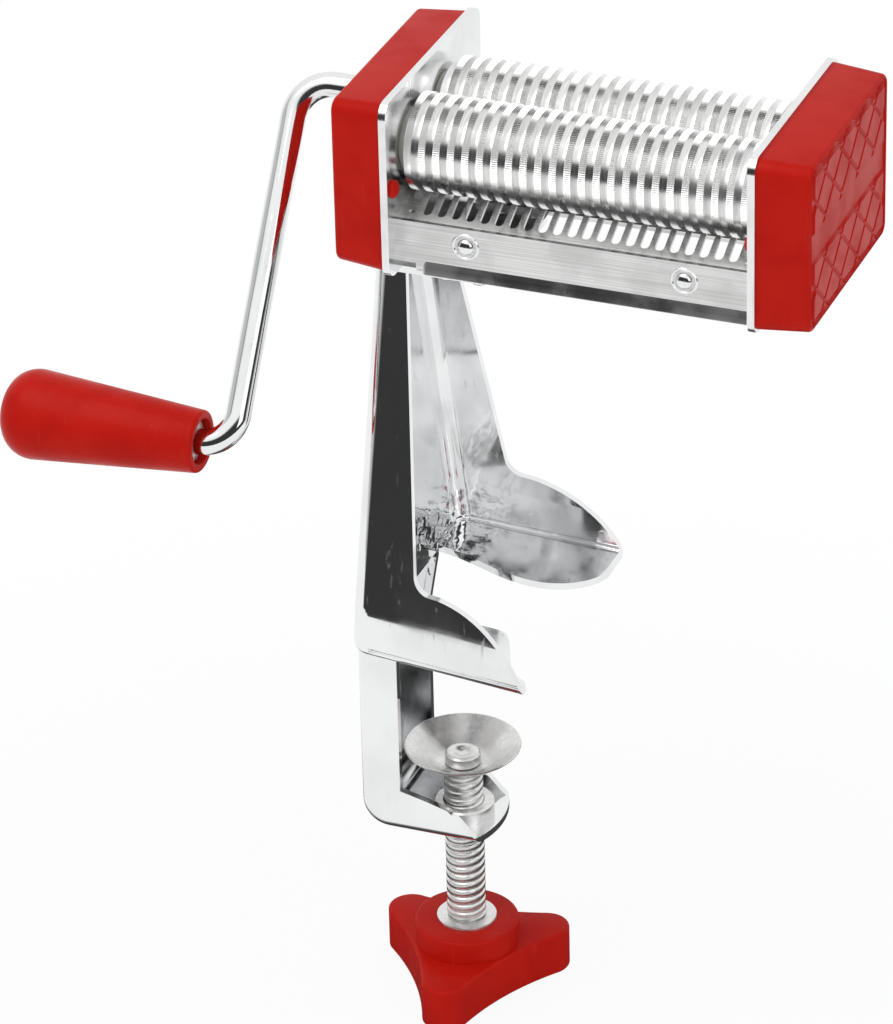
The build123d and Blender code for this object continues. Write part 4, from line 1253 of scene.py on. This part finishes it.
@dataclass
class ClampScrew:
    """Threaded rod, dished cup and three-lobed knob."""

    lead: float = 2.5
    shoulder: float = -54.45
    thread_end: float = -102.6
    thread_inset: float = 0.6
    thread_steps: int = 56
    rod_steps: int = 64
    thread_section: Profile = ((0.0, 4.95), (0.2, 5.0), (0.55, 5.42), (0.75, 5.5), (1.75, 5.5), (1.95, 5.42),
                               (2.3, 5.0), (2.5, 4.95))
    end_profile: Profile = ((-50.35, 0.0), (-50.3, 1.2), (-50.0, 2.0), (-49.62, 2.7), (-49.55, 3.6),
                            (-49.75, 4.5), (-50.2, 4.95), (-52.8, 5.0), (-52.95, 4.8), (-52.95, 4.0),
                            (-54.45, 4.0), (-54.45, 4.6), (-56.5, 4.6), (-56.5, 0.0))
    shank_profile: Profile = ((-101.5, 0.0), (-101.5, 4.62), (-103.0, 4.9), (-103.0, 5.0), (-117.0, 5.0),
                              (-117.0, 0.0))
    cup_profile: Profile = ((-53.1, 4.08), (-53.1, 6.4), (-52.85, 7.4), (-52.2, 8.7), (-50.2, 11.6),
                            (-48.4, 14.2), (-47.35, 15.7), (-47.1, 16.05), (-47.15, 16.28), (-47.4, 16.35),
                            (-47.7, 16.25), (-48.6, 15.3), (-49.8, 13.7), (-51.5, 11.2), (-53.3, 8.9),
                            (-54.0, 7.5), (-54.3, 6.4), (-54.3, 4.08))
    insert_profile: Profile = ((-103.0, 5.02), (-103.0, 7.9), (-103.2, 8.4), (-103.6, 8.55),
                               (-104.2, 8.55), (-104.2, 6.8), (-117.0, 6.8), (-117.0, 5.02))
    hub_radius: float = 14.7
    hub_top: float = -104.2
    hub_root: float = 1.0
    hub_steps: int = 5
    seat_radius: float = 6.82
    seat_bottom: float = -117.0
    lobe_top: float = -111.2
    knob_bottom: float = -124.2
    lobe_reach: float = 29.6
    lobe_tip: float = 6.6
    waist: float = 15.8
    lobe_angles: tuple[float, float, float] = (-85.0, 35.0, 155.0)
    tip_steps: int = 20
    flank_steps: int = 24
    edge: float = 0.8

    def build(self) -> None:
        """Builds the cup, the screw, the insert and the knob."""
        cup = Workpiece("cup_dish")
        cup.turn(self.cup_profile, Vector(), Z_AXIS, closed=True)
        cup.finish(Body.CUP, Slot.ZINC, ZINC, ["pressure_cup"])
        self.screw()
        insert = Workpiece("insert_flange")
        insert.turn(self.insert_profile, Vector(), Z_AXIS, self.rod_steps, closed=True)
        insert.finish(Body.SCREW, Slot.ZINC, ZINC, ["knob_insert"])
        self.knob()

    def screw(self) -> None:
        """Winds the thread as a helix and adds the swaged end and the shank."""
        piece = Workpiece("screw_thread")
        bm = piece.bm
        turns = math.ceil((self.shoulder - self.thread_end) / self.lead) + 2
        start = self.shoulder + self.lead
        section = piece.chain([Vector((radius, 0, start - along)) for along, radius in self.thread_section])
        sweep_round(bm, section, Vector(), -Z_AXIS, FULL_TURN * turns, self.thread_steps * turns,
                    shift=-Z_AXIS * self.lead / self.thread_steps)
        piece.weld(CAD_WELD)
        for level, way in ((self.shoulder - self.thread_inset, 1), (self.thread_end, -1)):
            geometry = bm.verts[:] + bm.edges[:] + bm.faces[:]
            cut = split(bm, geometry, Z_AXIS * level, Z_AXIS * way, clear=True)
            bmesh.ops.holes_fill(bm, edges=[item for item in cut if isinstance(item, BMEdge)], sides=0)
        for profile in (self.end_profile, self.shank_profile):
            piece.turn(profile, Vector(), Z_AXIS, self.rod_steps)
        piece.finish(Body.SCREW, Slot.ZINC, ZINC, ["clamp_screw"])

    def knob(self) -> None:
        """Draws the three lobes as arcs, raises them, and adds the hub."""
        piece = Workpiece("knob_moulding")
        bm = piece.bm
        self.outline(piece)
        bmesh.ops.holes_fill(bm, edges=bm.edges[:], sides=0)
        made = bmesh.ops.extrude_face_region(bm, geom=bm.faces[:])["geom"]
        lift = Vector((0, 0, self.lobe_top - self.knob_bottom))
        bmesh.ops.translate(bm, vec=lift, verts=[item for item in made if isinstance(item, BMVert)])
        flat = [f for f in bm.faces if len(f.verts) > 4]
        rims = {e for f in flat for e in f.edges}
        piece.bevel(rims, self.edge, 4)
        root = self.knob_bottom + self.hub_root
        hub = [(root, 0.0), (root, self.hub_radius)]
        for step in range(self.hub_steps + 1):
            angle = step / self.hub_steps * math.pi / 2
            hub.append((self.hub_top - self.edge * (1 - math.sin(angle)),
                        self.hub_radius - self.edge * (1 - math.cos(angle))))
        hub += [(self.hub_top, self.seat_radius), (self.seat_bottom, self.seat_radius),
                (self.seat_bottom, 0.0)]
        piece.turn(hub, Vector(), Z_AXIS)
        piece.finish(Body.SCREW, Slot.RED, RED, ["wing_knob"])

    @staticmethod
    def sweep(bm: bmesh.types.BMesh, start: BMVert, centre: Vector, angle: float, steps: int) -> BMVert:
        """Draws an arc of edges from a vertex.

        Args:
            bm: the mesh.
            start: the arc's first vertex.
            centre: the arc's centre.
            angle: how far it goes round, in radians.
            steps: its number of edges.

        Returns:
            The arc's last vertex.
        """
        made = sweep_round(bm, [start], centre, Z_AXIS, angle, steps)
        return next(item for item in made if isinstance(item, BMVert))

    def outline(self, piece: Workpiece) -> None:
        """Draws the knob's closed outline of round lobe tips and the hollow flanks between them.

        Args:
            piece: the knob.
        """
        base = Vector((0, 0, self.knob_bottom))
        half = math.pi / len(self.lobe_angles)
        reach = self.lobe_reach - self.lobe_tip
        inward = reach * math.cos(half)
        flank_radius = ((reach ** 2 + self.waist ** 2 - 2 * self.waist * inward - self.lobe_tip ** 2)
                        / (2 * (self.lobe_tip - self.waist + inward)))
        flank_reach = flank_radius + self.waist
        lean = math.atan2(flank_reach * math.sin(half), flank_reach * math.cos(half) - reach)
        for degrees in self.lobe_angles:
            turn = math.radians(degrees)
            tip_centre = base + Vector((math.cos(turn), math.sin(turn), 0)) * reach
            flank_centre = base + Vector((math.cos(turn + half), math.sin(turn + half), 0)) * flank_reach
            first = Vector((math.cos(turn - lean), math.sin(turn - lean), 0)) * self.lobe_tip + tip_centre
            last = self.sweep(piece.bm, piece.bm.verts.new(first), tip_centre, 2 * lean, self.tip_steps)
            spread = (last.co - flank_centre).to_2d().angle((base - flank_centre).to_2d())
            self.sweep(piece.bm, last, flank_centre, -2 * spread, self.flank_steps)
        piece.weld(0.01)


# ---------------------------------------------------------------- studio
@dataclass
class Studio:
    """Camera, lamps, floor and surroundings."""

    target: tuple[float, float, float] = (45.5, 0.0, 137.6)
    azimuth: float = 22.024
    elevation: float = 29.167
    roll: float = -1.493
    distance: float = 1544.243
    shift_right: float = -44.979
    shift_up: float = -88.681
    focal_pixels: float = 5935.0
    frame_height: float = 1024.0
    sensor: float = 36.0
    lamp_table: tuple[tuple[str, tuple[float, float, float], float, float], ...] = (
        ("lamp_top", (-0.35, -0.55, 1.35), 1.1, 7.5), ("lamp_right", (1.3, -0.9, 0.5), 0.8, 2.5))
    lamp_aim: tuple[float, float, float] = (0.03, 0.0, 0.05)
    floor_z: float = -125.0
    floor_radius: float = 900.0
    # Painted shade: an oval of the floor that only reflections see as dark, standing in for the object's
    # shadow.
    dark_centre: tuple[float, float, float] = (0.02, 0.11, 0.0)
    dark_reach: tuple[float, float, float] = (0.15, 0.19, 1.0)
    dark_edge: tuple[float, float] = (0.8, 1.05)
    dark_depth: float = 0.94
    white_radii: tuple[float, float] = (0.1, 0.35)
    white_share: tuple[float, float] = (0.93, 1.0)
    floor_colour: tuple[float, float, float, float] = (0.86, 0.86, 0.86, 1.0)
    front_heights: tuple[float, float] = (0.36, 0.5)
    front_levels: tuple[float, float] = (0.04, 1.0)
    behind_y: tuple[float, float] = (-0.2, 0.35)
    behind_level: float = 0.97
    left_x: tuple[float, float] = (-0.9, -0.7)
    left_level: float = 0.6
    plain_level: float = 0.6

    def build(self) -> None:
        """Builds everything that isn't the object."""
        self.camera()
        self.lamps()
        self.floor()
        self.surroundings()
        bpy.context.scene.view_settings.view_transform = "Standard"

    def camera(self) -> None:
        """Places the camera at the photograph's viewpoint."""
        azimuth, elevation, roll = (math.radians(v) for v in (self.azimuth, self.elevation, self.roll))
        back = Vector((math.sin(azimuth) * math.cos(elevation), -math.cos(azimuth) * math.cos(elevation),
                       math.sin(elevation)))
        right = Vector((math.cos(azimuth), math.sin(azimuth), 0))
        up = back.cross(right)
        place = Vector(self.target) + right * self.shift_right + up * self.shift_up + back * self.distance
        rolled_right = right * math.cos(roll) + up * math.sin(roll)
        rolled_up = up * math.cos(roll) - right * math.sin(roll)
        data = bpy.data.cameras.new("view")
        data.lens = self.focal_pixels * self.sensor / self.frame_height
        data.sensor_width = self.sensor
        data.clip_start, data.clip_end = 0.05, 50.0
        camera = bpy.data.objects.new("view", data)
        turn = Matrix((rolled_right, rolled_up, back)).transposed().to_4x4()
        camera.matrix_world = Matrix.Translation(place * MM) @ turn
        bpy.context.scene.collection.objects.link(camera)
        bpy.context.scene.camera = camera

    def lamps(self) -> None:
        """Hangs two soft lamps."""
        for name, place, size, power in self.lamp_table:
            data = bpy.data.lights.new(name, "AREA")
            data.shape = "SQUARE"
            data.size = size
            data.energy = power
            lamp = bpy.data.objects.new(name, data)
            lamp.location = place
            lamp.rotation_mode = "QUATERNION"
            aim = Vector(self.lamp_aim) - Vector(place)
            lamp.rotation_quaternion = aim.to_track_quat("-Z", "Y")
            bpy.context.scene.collection.objects.link(lamp)

    def floor(self) -> None:
        """Lays a round white floor that keeps the object's shadow, with an oval of painted shadow that only
        reflections see.
        """
        bm = bmesh.new()
        bmesh.ops.create_circle(bm, cap_ends=True, radius=self.floor_radius * MM, segments=96,
                                matrix=Matrix.Translation((0, 0, self.floor_z * MM)))
        mesh = bpy.data.meshes.new("floor")
        bm.to_mesh(mesh)
        bm.free()
        made = bpy.data.objects.new("floor", mesh)
        bpy.context.scene.collection.objects.link(made)
        material = bpy.data.materials.new("floor_white")
        material.use_nodes = True
        graph = Graph(material.node_tree)
        material.node_tree.nodes.remove(material.node_tree.nodes["Principled BSDF"])
        out = material.node_tree.nodes["Material Output"]
        place = graph.add("TexCoord").outputs["Object"]
        parts = graph.add("SeparateXYZ")
        graph.join(place, parts.inputs["Vector"])
        flat = graph.add("CombineXYZ")
        graph.join(parts.outputs["X"], flat.inputs["X"])
        graph.join(parts.outputs["Y"], flat.inputs["Y"])
        length = graph.add("VectorMath", operation="LENGTH")
        graph.join(flat.outputs["Vector"], length.inputs[0])
        away = length.outputs["Value"]
        rays = graph.add("LightPath")
        seen = graph.math("MULTIPLY", rays.outputs["Is Camera Ray"],
                          graph.rescale(away, self.white_radii, self.white_share))
        share = graph.math("MAXIMUM", seen, rays.outputs["Is Glossy Ray"])
        glow = graph.add("Emission")
        # painted shadow: reflections see this oval of the floor as dark
        shade = self.painted_shade_patch(graph, flat.outputs["Vector"])
        mirrored = graph.math("MULTIPLY", rays.outputs["Is Glossy Ray"], shade)
        graph.join(graph.math("SUBTRACT", 1.0, mirrored), glow.inputs["Strength"])
        matt = graph.add("BsdfDiffuse")
        matt.inputs["Color"].default_value = self.floor_colour
        mix = graph.add("MixShader")
        graph.join(share, mix.inputs["Fac"])
        graph.join(matt.outputs["BSDF"], mix.inputs[1])
        graph.join(glow.outputs["Emission"], mix.inputs[2])
        graph.join(mix.outputs["Shader"], out.inputs["Surface"])
        mesh.materials.append(material)

    def painted_shade_patch(self, graph: Graph, place: bpy.types.NodeSocket) -> bpy.types.NodeSocket:
        """Shapes an oval of painted shade on the floor, which only reflections see as dark.

        Args:
            graph: the floor's graph.
            place: the place on the floor.

        Returns:
            The share of darkness.
        """
        offset = graph.add("VectorMath", operation="SUBTRACT")
        graph.join(place, offset.inputs[0])
        graph.join(self.dark_centre, offset.inputs[1])
        scaled = graph.add("VectorMath", operation="DIVIDE")
        graph.join(offset.outputs["Vector"], scaled.inputs[0])
        graph.join(self.dark_reach, scaled.inputs[1])
        away = graph.add("VectorMath", operation="LENGTH")
        graph.join(scaled.outputs["Vector"], away.inputs[0])
        return graph.rescale(away.outputs["Value"], self.dark_edge, (self.dark_depth, 0.0))

    def surroundings(self) -> None:
        """Makes the world: white behind the object, dark and light panels in reflections."""
        world = bpy.data.worlds.new("studio")
        world.use_nodes = True
        bpy.context.scene.world = world
        graph = Graph(world.node_tree)
        tree = world.node_tree
        out = tree.nodes["World Output"]
        backdrop = tree.nodes["Background"]
        way = graph.add("TexCoord").outputs["Generated"]
        parts = graph.add("SeparateXYZ")
        graph.join(way, parts.inputs["Vector"])
        x, y, z = parts.outputs
        front = graph.rescale(z, self.front_heights, self.front_levels)
        is_behind = graph.rescale(y, self.behind_y)
        behind = graph.rescale(is_behind, (0.0, 1.0), (0.0, self.behind_level))
        level = graph.math("MAXIMUM", front, behind)
        left = graph.rescale(x, self.left_x, (self.left_level, 0.0))
        mirrored = graph.math("MAXIMUM", level, left)
        rays = graph.add("LightPath")
        glossy = rays.outputs["Is Glossy Ray"]
        seen = graph.math("MAXIMUM", rays.outputs["Is Camera Ray"], rays.outputs["Is Transmission Ray"])
        plain = graph.math("SUBTRACT", 1.0, graph.math("MAXIMUM", glossy, seen))
        reflected = graph.math("MULTIPLY", glossy, mirrored)
        lit = graph.math("MULTIPLY", plain, self.plain_level)
        strength = graph.math("ADD", seen, graph.math("ADD", reflected, lit))
        backdrop.inputs["Color"].default_value = (1.0, 1.0, 1.0, 1.0)
        graph.join(strength, backdrop.inputs["Strength"])
        graph.join(backdrop.outputs["Background"], out.inputs["Surface"])


def main() -> None:
    """Builds the studio and every sub-assembly in order."""
    logging.basicConfig(level=logging.INFO, format="%(message)s")
    for part in (Studio(), CuttingHead(), EndCaps(), RollerPair(), GearTrain(), Crank(), ClampBracket(),
                 ClampScrew()):
        part.build()
        LOG.info("%s done", type(part).__name__)


if __name__ == "__main__":
    main()
